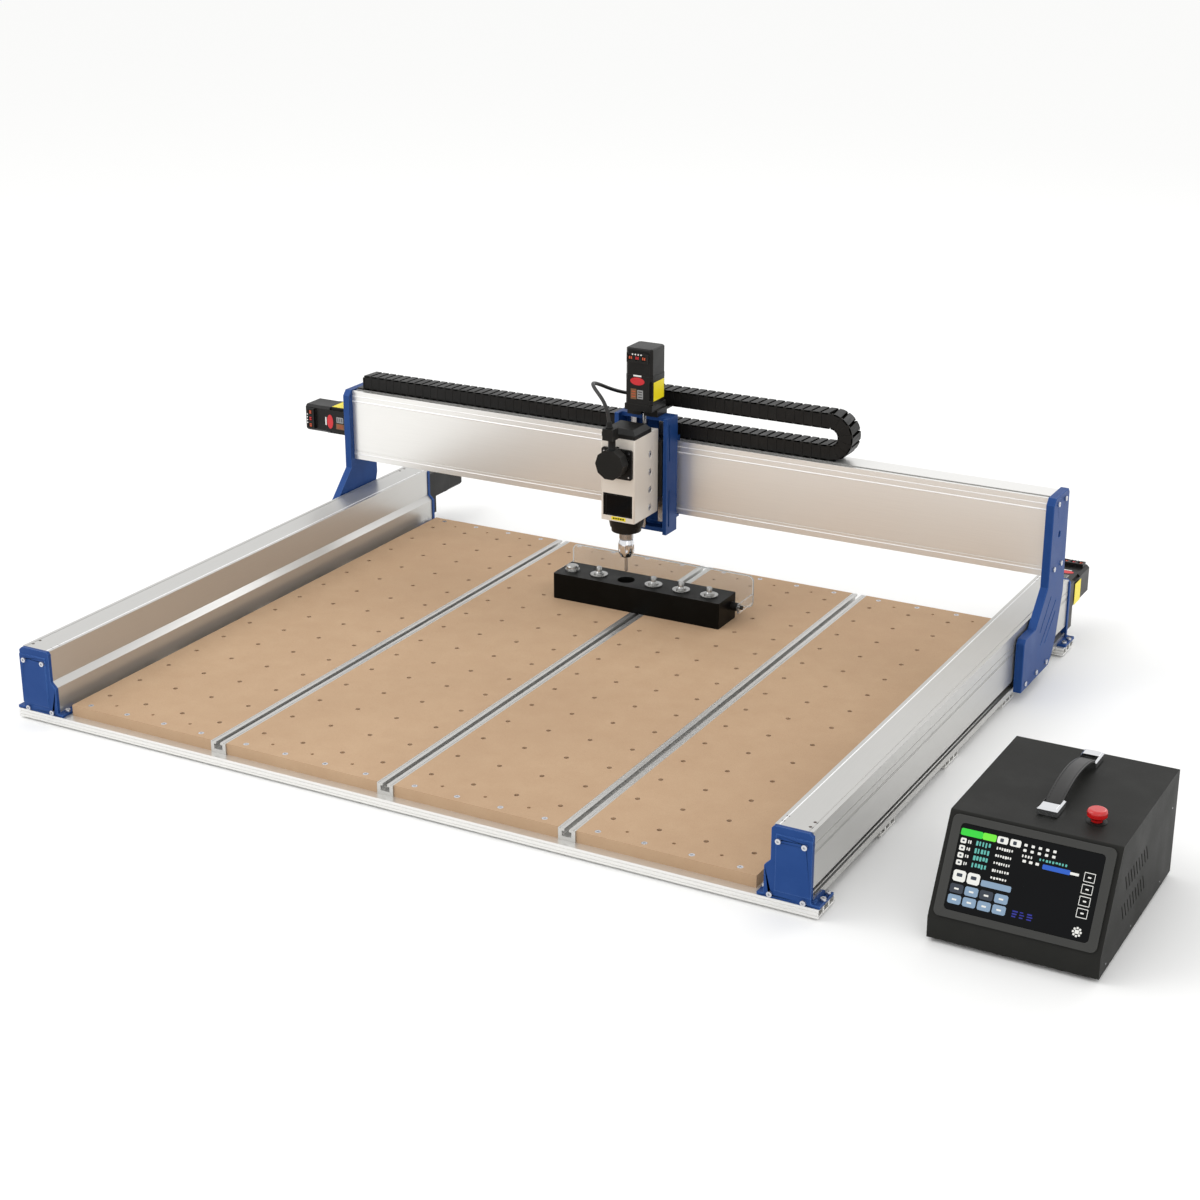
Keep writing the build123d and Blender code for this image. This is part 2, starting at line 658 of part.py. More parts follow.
def x_carriage():
    """A frame that goes round the cover through both slits, with the X screw's nut inside."""
    x0, x1 = HEAD_X - RING_W, HEAD_X + RING_W
    low, high = GZ - 8.5, RING_TOP + 6
    ring = box(x0, x1, INNER_Y0, INNER_Y1, low, high)
    ring += box(x0, x1, Z_BACK, INNER_Y1, RING_TOP, high)
    ring += box(x0, x1, Z_BACK, INNER_Y1, low, GZ - 2.5)
    ring += box(x0, x1, Z_BACK, GY - 2, low, high)
    rear = X_SCREW_Y + X_SCREW_R + 4
    nut = box(HEAD_X - 20, HEAD_X + 20, INNER_Y1 - 1, rear, X_SCREW_Z - 12, X_SCREW_Z + 12)
    bore = rod_x(HEAD_X - 60, HEAD_X + 60, X_SCREW_Y, X_SCREW_Z, X_SCREW_R + RUN_FIT)
    return ring + nut - bore


def x_block(x, z):
    """A carriage block on an X guide."""
    back = GY + GANTRY_DEEP - BACK_WALL
    block = box(x - 21, x + 21, INNER_Y1, back - 2, z - 15, z + 15)
    half = GUIDE_W / 2 + BLOCK_GAP
    return block - box(x - 22, x + 22, back - 9 - BLOCK_GAP, back + 1, z - half, z + half)


save("x_carriage", x_carriage())
save("x_blocks", *[x_block(HEAD_X + s * 27, z) for s in (-1, 1) for z in X_GUIDES])

# Z housing ---------------------------------------------------------------------------------------
HOUSE_HALF = 56.0
HOUSE_WALL = 8.0
HOUSE_LOW = GZ - 28.0
HOUSE_TOP = GZ + 201.0
HOUSE_FRONT = GY - 54.0
PLATE_FRONT = GY - 51.0
Z_GUIDE_X = 30.0
MOUNT_TOP = HOUSE_TOP + 25.0


def z_housing():
    """An open-fronted channel with end plates, its lower back corner clipped."""
    x0, x1 = HEAD_X - HOUSE_HALF, HEAD_X + HOUSE_HALF
    body = box(x0, x1, Z_BACK - 8, Z_BACK, HOUSE_LOW + 12, HOUSE_TOP)
    for a, b in ((x0, x0 + HOUSE_WALL), (x1 - HOUSE_WALL, x1)):
        body += box(a, b, HOUSE_FRONT, Z_BACK, HOUSE_LOW, HOUSE_TOP)
    body += box(x0, x1, GY - 40, Z_BACK, HOUSE_LOW, HOUSE_LOW + 8)
    body += box(x0, x1, GY - 40, Z_BACK, HOUSE_TOP - 8, HOUSE_TOP)
    body += box(x0, x1, GY - 19, Z_BACK, HOUSE_LOW, HOUSE_LOW + 14)
    body -= rod_z(HOUSE_TOP - 9, HOUSE_TOP + 1, HEAD_X, Z_SCREW_Y, Z_SCREW_R + LOOSE)
    body -= rod_z(HOUSE_LOW + 3, HOUSE_LOW + 15, HEAD_X, Z_SCREW_Y, Z_SCREW_R + LOOSE)
    for a in (x0 - 1, x1 - 2.2):
        for low, high in ((HOUSE_LOW + 14, HOUSE_LOW + 88), (HOUSE_TOP - 84, HOUSE_TOP - 12)):
            body -= box(a, a + 3.2, GY - 46, GY - 41, low, high)
    return body


def z_guide(side):
    """A guide bar on the channel's back wall."""
    x = HEAD_X + side * Z_GUIDE_X
    return box(x - 6, x + 6, Z_BACK - 16, Z_BACK - 8, HOUSE_LOW + 16, HOUSE_TOP - 10)


def motor_mount():
    """The stepped black block between the Z housing and its motor."""
    rear = Z_SCREW_Y + MOTOR / 2
    block = box(HEAD_X - 32, HEAD_X + 32, PLATE_FRONT + 3, rear, HOUSE_TOP, HOUSE_TOP + 13)
    block += box(HEAD_X - 29, HEAD_X + 29, Z_SCREW_Y - MOTOR / 2, rear, HOUSE_TOP + 13, MOUNT_TOP)
    return block - rod_z(HOUSE_TOP - 1, MOUNT_TOP + 1, HEAD_X, Z_SCREW_Y, 12.0)


def chain_bracket():
    """The folded plate that holds the chain's moving end behind the Z motor."""
    x0, x1 = HEAD_X - 48, HEAD_X + 24
    wall = box(x0, x1, GY + 2, GY + 7, RING_TOP + 6, CHAIN_TOP - 0.5)
    shelf = box(x0, x1, GY + 2, CHAIN_Y1 + 2, CHAIN_TOP - 4.5, CHAIN_TOP - 0.5)
    return wall + shelf


save("z_housing", z_housing())
save("z_guides", z_guide(-1), z_guide(1))
save("z_motor_mount", motor_mount())
save("z_motor", *[on_z(piece, HEAD_X, Z_SCREW_Y, MOUNT_TOP) for piece in motor])
save("chain_bracket", chain_bracket())
save("z_screw", rod_z(HOUSE_LOW + 4, MOUNT_TOP - 1, HEAD_X, Z_SCREW_Y, Z_SCREW_R))

# Z plate and spindle -----------------------------------------------------------------------------
SLED_LOW = HOUSE_LOW + 75.0
SLED_TOP = HOUSE_TOP - 46.0
BODY_FRONT = HEAD_Y - SPINDLE_W / 2
BODY_LOW = GZ + 18.0
BODY_TOP = GZ + 181.0
SHAFT_TOP = BODY_TOP - 40.0


def z_plate():
    """The sliding plate behind the spindle, with the Z screw's nut on its back."""
    sled = box(HEAD_X - 44, HEAD_X + 44, PLATE_FRONT, PLATE_FRONT + 6, SLED_LOW, SLED_TOP)
    mid = (SLED_LOW + SLED_TOP) / 2
    nut = box(HEAD_X - 13, HEAD_X + 13, PLATE_FRONT + 6, Z_SCREW_Y + 8, mid - 16, mid + 16)
    return sled + nut - rod_z(mid - 17, mid + 17, HEAD_X, Z_SCREW_Y, Z_SCREW_R + RUN_FIT)


def z_block(side, z):
    """A carriage block on a Z guide."""
    x = HEAD_X + side * Z_GUIDE_X
    block = box(x - 13, x + 13, PLATE_FRONT + 6, Z_BACK - 10, z - 16, z + 16)
    edge = Z_BACK - 16 - BLOCK_GAP
    return block - box(x - 6.4, x + 6.4, edge, Z_BACK, z - 17, z + 17)


SIDE_SCREW_IN = 31.0


def spindle_body():
    """The square spindle housing with clipped front corners, side pockets and a shaft bore."""
    half = SPINDLE_W / 2
    body = box(HEAD_X - half, HEAD_X + half, BODY_FRONT, PLATE_FRONT, BODY_LOW, BODY_TOP)
    front = body.edges().filter_by(Axis.Z).sort_by(Axis.Y)[:2]
    body = fillet(front, 2.5)
    for side in (-1, 1):
        for y, z in side_screws():
            face = HEAD_X + side * half
            body -= rod_x(face - 2, face + 2, y, z, 7.0)
    body -= rod_z(BODY_LOW - 1, SHAFT_TOP + 2, HEAD_X, HEAD_Y, SHAFT_R + RUN_FIT)
    window = box(HEAD_X - 31, HEAD_X + 31, BODY_FRONT - 1, BODY_FRONT + 3, WIN_LOW, WIN_TOP)
    return body - window


def side_screws():
    """Where the four screws sit on each side of the spindle housing."""
    return [(PLATE_FRONT - SIDE_SCREW_IN, BODY_TOP - 42 - i * 35) for i in range(4)]


WIN_LOW = BODY_LOW + 10.0
WIN_TOP = BODY_LOW + 54.0
PLUG_Z = BODY_TOP - 43.0
PLUG_FRONT = BODY_FRONT - 35.0


def spindle_cap():
    """The black top of the spindle, sloped on all sides."""
    low = box(HEAD_X - 35, HEAD_X + 35, BODY_FRONT + 1, HEAD_Y + 33, BODY_TOP, BODY_TOP + 17)
    top = low.faces().sort_by(Axis.Z)[-1].edges()
    return chamfer(top, 9.0)


def plug_base():
    """The square socket plate on the spindle's front with a round collar."""
    base = box(HEAD_X - 32, HEAD_X + 32, BODY_FRONT - 5, BODY_FRONT, PLUG_Z - 34, PLUG_Z + 24)
    base = chamfer(base.edges().filter_by(Axis.Y), 3.0)
    return base + rod_y(BODY_FRONT - 12, BODY_FRONT - 5, HEAD_X, PLUG_Z, 22.0)


def power_plug():
    """The ten-sided plug, with its cable gland pointing up."""
    disc = Rot(90, 0, 0) * extrude(RegularPolygon(29.0, 10), 23.0)
    disc = Pos(HEAD_X, BODY_FRONT - 12, PLUG_Z) * disc
    neck = rod_z(PLUG_Z + 24, PLUG_Z + 46, HEAD_X, PLUG_FRONT + 12, 7.0)
    elbow = box(HEAD_X - 15, HEAD_X + 7, PLUG_FRONT + 2, PLUG_FRONT + 24, PLUG_Z + 46, PLUG_Z + 68)
    return disc + neck + elbow


def nose_ring():
    """The black tapered ring round the shaft's lower bearing."""
    ring = cone_z(BODY_LOW - 18, BODY_LOW, HEAD_X, HEAD_Y, 31.0, 34.5)
    ring += rod_z(BODY_LOW - 27, BODY_LOW - 18, HEAD_X, HEAD_Y, 28.5)
    return ring - rod_z(BODY_LOW - 28, BODY_LOW + 1, HEAD_X, HEAD_Y, SHAFT_R + RUN_FIT)


NUT_LOW = TIP_Z + 31.0
NUT_TOP = NUT_LOW + 34.0


def spindle_shaft():
    """The shaft from the upper bearing down into the collet nut."""
    shaft = rod_z(NUT_LOW + 14, SHAFT_TOP, HEAD_X, HEAD_Y, SHAFT_R)
    shaft += rod_z(NUT_TOP + 2, NUT_TOP + 12, HEAD_X, HEAD_Y, SHAFT_R + 3.5)
    return shaft - rod_z(NUT_LOW + 13, NUT_LOW + 30, HEAD_X, HEAD_Y, BIT_R)


def collet_nut():
    """The round nut with spanner notches and a tapered lower lip."""
    nut = rod_z(NUT_LOW + 10, NUT_TOP - 8, HEAD_X, HEAD_Y, NUT_R)
    nut += cone_z(NUT_LOW, NUT_LOW + 10, HEAD_X, HEAD_Y, 11.0, NUT_R)
    nut += cone_z(NUT_TOP - 8, NUT_TOP, HEAD_X, HEAD_Y, NUT_R, 13.0)
    for i in range(6):
        angle = math.radians(60 * i)
        x = HEAD_X + NUT_R * math.cos(angle)
        y = HEAD_Y + NUT_R * math.sin(angle)
        nut -= rod_z(NUT_LOW + 12, NUT_TOP - 10, x, y, 2.2)
    nut -= rod_z(NUT_LOW + 14, NUT_TOP + 1, HEAD_X, HEAD_Y, SHAFT_R)
    return nut - rod_z(NUT_LOW - 1, NUT_LOW + 15, HEAD_X, HEAD_Y, BIT_R)


def end_mill():
    """A two-flute cutter in the collet."""
    mill = rod_z(TIP_Z + 2, NUT_LOW + 29, HEAD_X, HEAD_Y, BIT_R)
    mill += cone_z(TIP_Z, TIP_Z + 2, HEAD_X, HEAD_Y, 1.8, BIT_R)
    for side in (-1, 1):
        cut = Pos(HEAD_X + side * 2.4, HEAD_Y, TIP_Z + 11) * Rot(0, 0, 45) * Box(2.2, 2.2, 26)
        mill -= cut
    return mill


WINDOW_EDGE = 30.6
save("z_plate", z_plate())
sled_z = [SLED_LOW + 20, SLED_TOP - 20]
save("z_blocks", *[z_block(s, z) for s in (-1, 1) for z in sled_z])
save("spindle_body", spindle_body())
save("spindle_cap", spindle_cap())
save("plug_base", plug_base())
save("power_plug", power_plug())
save("nose_ring", nose_ring())
glass = box(HEAD_X - WINDOW_EDGE, HEAD_X + WINDOW_EDGE, BODY_FRONT + 0.4, BODY_FRONT + 3,
            WIN_LOW + 0.4, WIN_TOP - 0.4)
save("spindle_window", glass)
save("spindle_shaft", spindle_shaft())
save("collet_nut", collet_nut())
save("end_mill", end_mill())

# Spindle lead ------------------------------------------------------------------------------------
LEAD_R = 3.5
LEAD_X = HEAD_X - 6.0
LEAD_Y = PLUG_FRONT + 13.0
LEAD_Z = PLUG_Z + 68.3
LEAD_POINTS = [
    (LEAD_X, LEAD_Y, LEAD_Z),
    (LEAD_X, LEAD_Y, LEAD_Z + 16),
    (LEAD_X - 8, LEAD_Y - 2, LEAD_Z + 48),
    (HEAD_X - 56, HEAD_Y - 34, LEAD_Z + 70),
    (HEAD_X - 74, HEAD_Y + 10, LEAD_Z + 62),
    (HEAD_X - 68, HEAD_Y + 70, LEAD_Z + 34),
    (HEAD_X - 60, CHAIN_Y0 - 4, CHAIN_TOP + 14),
    (HEAD_X - 52, CHAIN_Y0 + 14, CHAIN_TOP + 13),
    (CHAIN_END - 1, CHAIN_Y0 + 18, CHAIN_TOP + 13),
]


def spindle_lead():
    """The flexible lead from the plug to the chain."""
    path = FilletPolyline(*LEAD_POINTS, radius=8.0)
    start = Plane(origin=LEAD_POINTS[0], z_dir=path % 0)
    return sweep(start * Circle(LEAD_R), path=path)


save("spindle_lead", spindle_lead())

# Tool rack ---------------------------------------------------------------------------------------
RACK_X0 = HEAD_X - 142.0
RACK_X1 = RACK_X0 + RACK_W
RACK_Y0 = HEAD_Y - 33.0
RACK_Y1 = RACK_Y0 + RACK_D
RACK_TOP = TABLE_Z + RACK_H
HOLDERS = [HEAD_X + i * POCKET_PITCH for i in (-1, 1, 2, 3)]
SETTER_X = HEAD_X - 2 * POCKET_PITCH
PIVOT_Y = RACK_Y0 + 58.0
PIVOT_Z = TABLE_Z + 28.0


def tool_rack():
    """The black block with round pockets for the tools."""
    rack = box(RACK_X0, RACK_X1, RACK_Y0, RACK_Y1, TABLE_Z, RACK_TOP)
    rack = chamfer(rack.edges().filter_by(Axis.Z), 1.5)
    rack -= rod_z(TABLE_Z - 1, RACK_TOP + 1, HEAD_X, HEAD_Y, POCKET_R)
    for x in HOLDERS:
        rack -= rod_z(TABLE_Z - 1, RACK_TOP + 1, x, HEAD_Y, HOLDER_R + LOOSE)
    rack -= rod_z(RACK_TOP - 12, RACK_TOP + 1, SETTER_X, HEAD_Y, 14.0)
    for x in (RACK_X0 + 6, RACK_X1 - 6):
        rack -= rod_x(x - 8, x + 8, PIVOT_Y, PIVOT_Z, 4.0)
    return rack


def tool_holder(x):
    """A parked collet holder: a nut in the pocket, a flange on the rack and a pull stud."""
    holder = cone_z(RACK_TOP - 38, RACK_TOP - 28, x, HEAD_Y, 11.0, HOLDER_R)
    holder += rod_z(RACK_TOP - 28, RACK_TOP - 10, x, HEAD_Y, HOLDER_R)
    holder += rod_z(RACK_TOP - 10, RACK_TOP, x, HEAD_Y, HOLDER_R - 2)
    holder += rod_z(RACK_TOP, RACK_TOP + 2.5, x, HEAD_Y, HOLDER_R + 2.5)
    holder += rod_z(RACK_TOP + 2.5, RACK_TOP + 5, x, HEAD_Y, 10.0)
    holder += cone_z(RACK_TOP + 5, RACK_TOP + 8, x, HEAD_Y, 8.0, 5.5)
    holder += rod_z(RACK_TOP + 8, RACK_TOP + 15.5, x, HEAD_Y, 5.5)
    return holder + cone_z(RACK_TOP + 15.5, RACK_TOP + 17, x, HEAD_Y, 5.5, 4.5)


def tool_setter():
    """The round touch probe that measures tool length."""
    base = rod_z(RACK_TOP - 12, RACK_TOP + 3, SETTER_X, HEAD_Y, 13.8)
    base += rod_z(RACK_TOP + 3, RACK_TOP + 10, SETTER_X, HEAD_Y, 12.0)
    return chamfer(base.faces().sort_by(Axis.Z)[-1].edges(), 2.0)


COVER_X0 = RACK_X0 - 20.0
COVER_X1 = RACK_X1 + 18.0
COVER_Y = PIVOT_Y + 55.0
COVER_LOW = TABLE_Z + 8.0
COVER_TOP = RACK_TOP + 22.0


def rack_cover():
    """The clear cover swung back: a panel with a turned lip and an arm at each end."""
    panel = box(COVER_X0, COVER_X1, COVER_Y, COVER_Y + 3, COVER_LOW, COVER_TOP)
    corners = panel.edges().filter_by(Axis.Y)
    panel = fillet(corners, 12.0)
    whole = panel
    for x in (COVER_X0, COVER_X1 - 3):
        arm = box(x, x + 3, PIVOT_Y - 9, COVER_Y + 1, PIVOT_Z - 9, PIVOT_Z + 9)
        hole = rod_x(x - 1, x + 4, PIVOT_Y, PIVOT_Z, 4.0 + RUN_FIT)
        whole += arm
        whole -= hole
    return whole


def cover_pins():
    """The two pins that stand out of the rack's ends, with a collar each."""
    pins = []
    for inner, outer in ((RACK_X0 + 12, COVER_X0 - 4), (RACK_X1 - 12, COVER_X1 + 4)):
        pin = rod_x(min(inner, outer), max(inner, outer), PIVOT_Y, PIVOT_Z, 4.0)
        face = RACK_X0 if outer < inner else RACK_X1
        side = -1 if outer < inner else 1
        collar = sorted((face + side * 0.2, face + side * 13))
        pin += rod_x(collar[0], collar[1], PIVOT_Y, PIVOT_Z, 8.0)
        pins.append(pin)
    return pins


save("tool_rack", tool_rack())
save("tool_holders", *[tool_holder(x) for x in HOLDERS])
save("tool_setter", tool_setter())
save("rack_cover", rack_cover())
save("cover_pins", *cover_pins())

# Console -----------------------------------------------------------------------------------------
CON_X1 = CON_X + CON_W
CON_Y1 = CON_Y + CON_D
SLOPE_LEN = math.hypot(CON_H - CON_CHIN, CON_LEAN)
FACE = Plane(origin=(CON_X + CON_W / 2, CON_Y, CON_CHIN), x_dir=(1, 0, 0),
             z_dir=(0, -(CON_H - CON_CHIN), CON_LEAN))


def console_outline(inset):
    """The console seen from the side as (y, z) points."""
    drop = inset * 0.6
    return [
        (CON_Y + inset, CON_FOOT if inset == 0 else CON_FOOT - 1),
        (CON_Y + inset, CON_CHIN - drop / 2),
        (CON_Y + CON_LEAN + drop, CON_H - inset),
        (CON_Y1 - inset, CON_H - inset),
        (CON_Y1 - inset, CON_FOOT if inset == 0 else CON_FOOT - 1),
    ]


def console_shell():
    """The folded cover with vents in both sides."""
    shell = prism_x(console_outline(0), CON_X, CON_X1)
    long_edges = shell.edges().filter_by(Axis.X).sort_by(Axis.Z)[2:]
    shell = fillet(long_edges, 4.0)
    shell -= prism_x(console_outline(CON_WALL), CON_X + CON_WALL, CON_X1 - CON_WALL)
    slots = []
    for row in range(2):
        for i in range(9):
            y = CON_Y + 96 + i * 13 + row * 6
            slot = Pos(CON_X + CON_W / 2, y, 62 + row * 44) * Rot(28, 0, 0) * Box(CON_W + 4, 3, 30)
            slots.append(slot)
    shell -= slots
    shell -= rod_z(CON_H - 10, CON_H + 10, STOP_X, STOP_Y, STEM_R + RUN_FIT)
    for x, y, r in PORT_HOLES:
        shell -= rod_y(CON_Y1 - 10, CON_Y1 + 1, x, y, r)
    return shell


STEM_R = 8.0
STOP_R = 14.5
STOP_X = CON_X + 192.0
STOP_Y = CON_Y + 131.0
PORT_HOLES = [(CON_X + 60, 60, 11.0), (CON_X + 100, 60, 11.0), (CON_X + 140, 60, 11.0)]
SCREEN_W = 206.0
SCREEN_H = 122.0


def console_bezel():
    """The raised frame round the screen."""
    frame = extrude(FACE * Pos(0, SLOPE_LEN / 2, 0) * RectangleRounded(234, SLOPE_LEN - 9, 9), 4)
    hole = FACE * Pos(0, SLOPE_LEN / 2, -1) * RectangleRounded(SCREEN_W + 0.8, SCREEN_H + 0.8, 6)
    return frame - extrude(hole, 6)


def console_screen():
    """The glass of the touch screen."""
    pane = FACE * Pos(0, SLOPE_LEN / 2, 0) * RectangleRounded(SCREEN_W, SCREEN_H, 5.6)
    return extrude(pane, 2.4)


def console_base():
    """The floor plate with a rubber foot near each corner standing under it."""
    return box(CON_X + CON_WALL + 0.3, CON_X1 - CON_WALL - 0.3, CON_Y + CON_WALL + 0.3,
               CON_Y1 - CON_WALL - 0.3, CON_FOOT, CON_FOOT + 2)


def console_feet():
    """Four rubber feet."""
    feet = []
    for x in (CON_X + 24, CON_X1 - 24):
        for y in (CON_Y + 22, CON_Y1 - 22):
            feet.append(rod_z(0, CON_FOOT, x, y, 9.0))
    return feet


STRAP_X = CON_X + 126.0
STRAP_Y0 = CON_Y + 132.0
STRAP_Y1 = STRAP_Y0 + 184.0


def strap():
    """The arched carrying strap."""
    mid = (STRAP_Y0 + STRAP_Y1) / 2
    ends = ((STRAP_Y0 + 8, CON_H + 6), (STRAP_Y1 - 8, CON_H + 6))
    low = ThreePointArc((ends[0][0], ends[0][1]), (mid, CON_H + 22), (ends[1][0], ends[1][1]))
    high = ThreePointArc((ends[1][0], ends[1][1] + 4), (mid, CON_H + 26), (ends[0][0], ends[0][1] + 4))
    right = Line((ends[1][0], ends[1][1]), (ends[1][0], ends[1][1] + 4))
    left = Line((ends[0][0], ends[0][1] + 4), (ends[0][0], ends[0][1]))
    face = Plane.YZ * make_face([low, right, high, left])
    return Pos(STRAP_X - 12, 0, 0) * extrude(face, 24)


def strap_end(y, side):
    """A bright end fitting on a short post."""
    cap = box(STRAP_X - 15, STRAP_X + 15, y - 20, y + 20, CON_H + 2, CON_H + 13)
    cap = chamfer(cap.faces().sort_by(Axis.Z)[-1].edges(), 3.0)
    inner = y + side * 14
    cap -= box(STRAP_X - 12.3, STRAP_X + 12.3, min(inner - 14, inner + 14), max(inner - 14, inner + 14),
               CON_H + 1, CON_H + 14)
    post = rod_z(CON_H, CON_H + 2, STRAP_X, y - side * 10, 9.0)
    return cap + post


def stop_button():
    """The mushroom button on its stem."""
    button = rod_z(CON_H - 12, CON_H + 6, STOP_X, STOP_Y, STEM_R)
    skirt = cone_z(CON_H + 6, CON_H + 10, STOP_X, STOP_Y, 11.0, STOP_R)
    head = rod_z(CON_H + 10, CON_H + 20, STOP_X, STOP_Y, STOP_R)
    head = fillet(head.faces().sort_by(Axis.Z)[-1].edges(), 5.0)
    return button + skirt + head


def ports():
    """The round sockets in the console's back."""
    found = []
    for x, z, r in PORT_HOLES:
        body = rod_y(CON_Y1 - 8, CON_Y1, x, z, r - 0.3)
        body += rod_y(CON_Y1, CON_Y1 + 3, x, z, r + 2)
        body -= rod_y(CON_Y1 - 5, CON_Y1 + 4, x, z, r - 3.5)
        found.append(body)
    return found


save("console_shell", console_shell())
save("console_base", console_base())
save("console_bezel", console_bezel())
save("console_screen", console_screen())
save("console_feet", *console_feet())
save("console_ports", *ports())
save("strap", strap())
save("strap_ends", strap_end(STRAP_Y0, 1), strap_end(STRAP_Y1, -1))
save("stop_button", stop_button())
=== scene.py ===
# %% [markdown]
# # A bench CNC router in Blender
# The machine's solids were drawn first, to size. This notebook loads them as a fixed frame,
# gives each one the finish of the real piece, and adds what a solid model leaves out: chain
# links, labels, sockets, a lit screen. Everything is in metres, in the frame of the solids.

# %% Load the frame and keep its size
import math
import random

import bmesh
import bpy
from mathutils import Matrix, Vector


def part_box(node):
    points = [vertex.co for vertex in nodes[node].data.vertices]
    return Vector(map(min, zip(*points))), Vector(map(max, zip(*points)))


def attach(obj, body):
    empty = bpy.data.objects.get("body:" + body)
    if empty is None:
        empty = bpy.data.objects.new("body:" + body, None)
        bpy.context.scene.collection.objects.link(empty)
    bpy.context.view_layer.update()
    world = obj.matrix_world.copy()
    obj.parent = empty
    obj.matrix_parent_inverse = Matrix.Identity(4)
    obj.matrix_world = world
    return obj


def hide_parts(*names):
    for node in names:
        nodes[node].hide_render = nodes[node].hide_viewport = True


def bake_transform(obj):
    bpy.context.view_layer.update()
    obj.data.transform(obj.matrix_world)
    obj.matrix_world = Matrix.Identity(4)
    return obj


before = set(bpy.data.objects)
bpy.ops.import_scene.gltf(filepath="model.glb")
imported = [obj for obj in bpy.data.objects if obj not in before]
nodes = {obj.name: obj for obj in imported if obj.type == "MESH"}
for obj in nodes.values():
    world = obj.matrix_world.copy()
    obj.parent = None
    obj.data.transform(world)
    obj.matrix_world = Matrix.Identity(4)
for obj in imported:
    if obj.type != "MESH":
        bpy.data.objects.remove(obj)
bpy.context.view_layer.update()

MM = 0.001

# %% [markdown]
# ## Camera
# The machine is seen from its front right corner and from above, like a catalogue picture. A
# long lens keeps the rails nearly parallel. The camera aims along a given direction, so its
# view doesn't depend on what it looks at.

# %% Camera
camera_data = bpy.data.cameras.new("catalogue_camera")
camera = bpy.data.objects.new("catalogue_camera", camera_data)
bpy.context.scene.collection.objects.link(camera)
camera_data.lens = 65.9
camera_data.sensor_width = 36.0
camera_data.clip_end = 60.0
camera.location = (1.816, -3.183, 1.543)
sight = Vector((-0.450, 0.820, -0.354))
camera.rotation_euler = sight.to_track_quat("-Z", "Y").to_euler()
bpy.context.scene.camera = camera
print("camera at", tuple(camera.location))

# %% [markdown]
# ## Studio
# A white room: a big pale floor, an even white sky, and soft boxes that draw long highlights
# along the aluminium. Large lamps give the faint, wide shadows of a product picture.

# %% Studio floor and lights
def soft_box(name, place, aim, size, power):
    """A square lamp at place that shines at aim."""
    lamp = bpy.data.lights.new(name, "AREA")
    lamp.shape = "SQUARE"
    lamp.size = size
    lamp.energy = power
    stand = bpy.data.objects.new(name, lamp)
    bpy.context.scene.collection.objects.link(stand)
    stand.location = place
    stand.rotation_euler = (Vector(aim) - Vector(place)).to_track_quat("-Z", "Y").to_euler()


bpy.ops.mesh.primitive_plane_add(size=60.0, location=(0, 0, -0.0004))
studio_floor = bpy.context.object
studio_floor.name = "studio_floor"
soft_box("key_box", (-2.6, -1.4, 3.4), (0, 0, 0.1), 2.6, 42)
soft_box("rim_box", (1.4, 3.2, 2.6), (0, 0.2, 0.2), 2.0, 20)
soft_box("fill_box", (3.4, -3.4, 2.2), (0.3, 0, 0.1), 2.4, 10)
sky = bpy.data.worlds.new("white_room")
bpy.context.scene.world = sky
sky.use_nodes = True
backdrop = sky.node_tree.nodes["Background"]
backdrop.inputs["Color"].default_value = (1, 1, 1, 1)
backdrop.inputs["Strength"].default_value = 1.0
bpy.context.scene.view_settings.view_transform = "Standard"
print("studio lit by", len(bpy.data.lights), "soft boxes")

# %% [markdown]
# ## Shared surface effects
# Real finishes differ in a few ways only: fine grain, and lines left by drawing or grinding;
# the edges get a painted highlight. Each is one node group, made once. It puts out values that
# a material then feeds to its own shader.

# %% Helpers for node groups
def new_group(name, inputs, outputs):
    """An empty shader node group with float or colour sockets, and its two end nodes."""
    group = bpy.data.node_groups.new(name, "ShaderNodeTree")
    for title, kind, value in inputs:
        socket = group.interface.new_socket(title, in_out="INPUT", socket_type=kind)
        socket.default_value = value
    for title, kind in outputs:
        group.interface.new_socket(title, in_out="OUTPUT", socket_type=kind)
    return group, group.nodes.new("NodeGroupInput"), group.nodes.new("NodeGroupOutput")


FLOAT, COLOUR, VECTOR = "NodeSocketFloat", "NodeSocketColor", "NodeSocketVector"


def place_noise(group, vector, scale, detail, rough=0.5):
    """A noise texture in a group, fed by a vector and a scale socket or number."""
    noise = group.nodes.new("ShaderNodeTexNoise")
    noise.inputs["Detail"].default_value = detail
    noise.inputs["Roughness"].default_value = rough
    group.links.new(vector, noise.inputs["Vector"])
    if isinstance(scale, (int, float)):
        noise.inputs["Scale"].default_value = scale
    else:
        group.links.new(scale, noise.inputs["Scale"])
    return noise.outputs["Fac"]


def place_range(group, value, low, high, out_low, out_high):
    """Stretches a value from one range to another; the ends may be sockets or numbers."""
    node = group.nodes.new("ShaderNodeMapRange")
    group.links.new(value, node.inputs["Value"])
    ends = ("From Min", "From Max", "To Min", "To Max")
    for title, end in zip(ends, (low, high, out_low, out_high)):
        if isinstance(end, (int, float)):
            node.inputs[title].default_value = end
        else:
            group.links.new(end, node.inputs[title])
    return node.outputs["Result"]


def place_math(group, kind, a, b):
    """One arithmetic node; a and b may be sockets or numbers."""
    node = group.nodes.new("ShaderNodeMath")
    node.operation = kind
    for socket, value in zip(node.inputs, (a, b)):
        if isinstance(value, (int, float)):
            socket.default_value = value
        else:
            group.links.new(value, socket)
    return node.outputs[0]


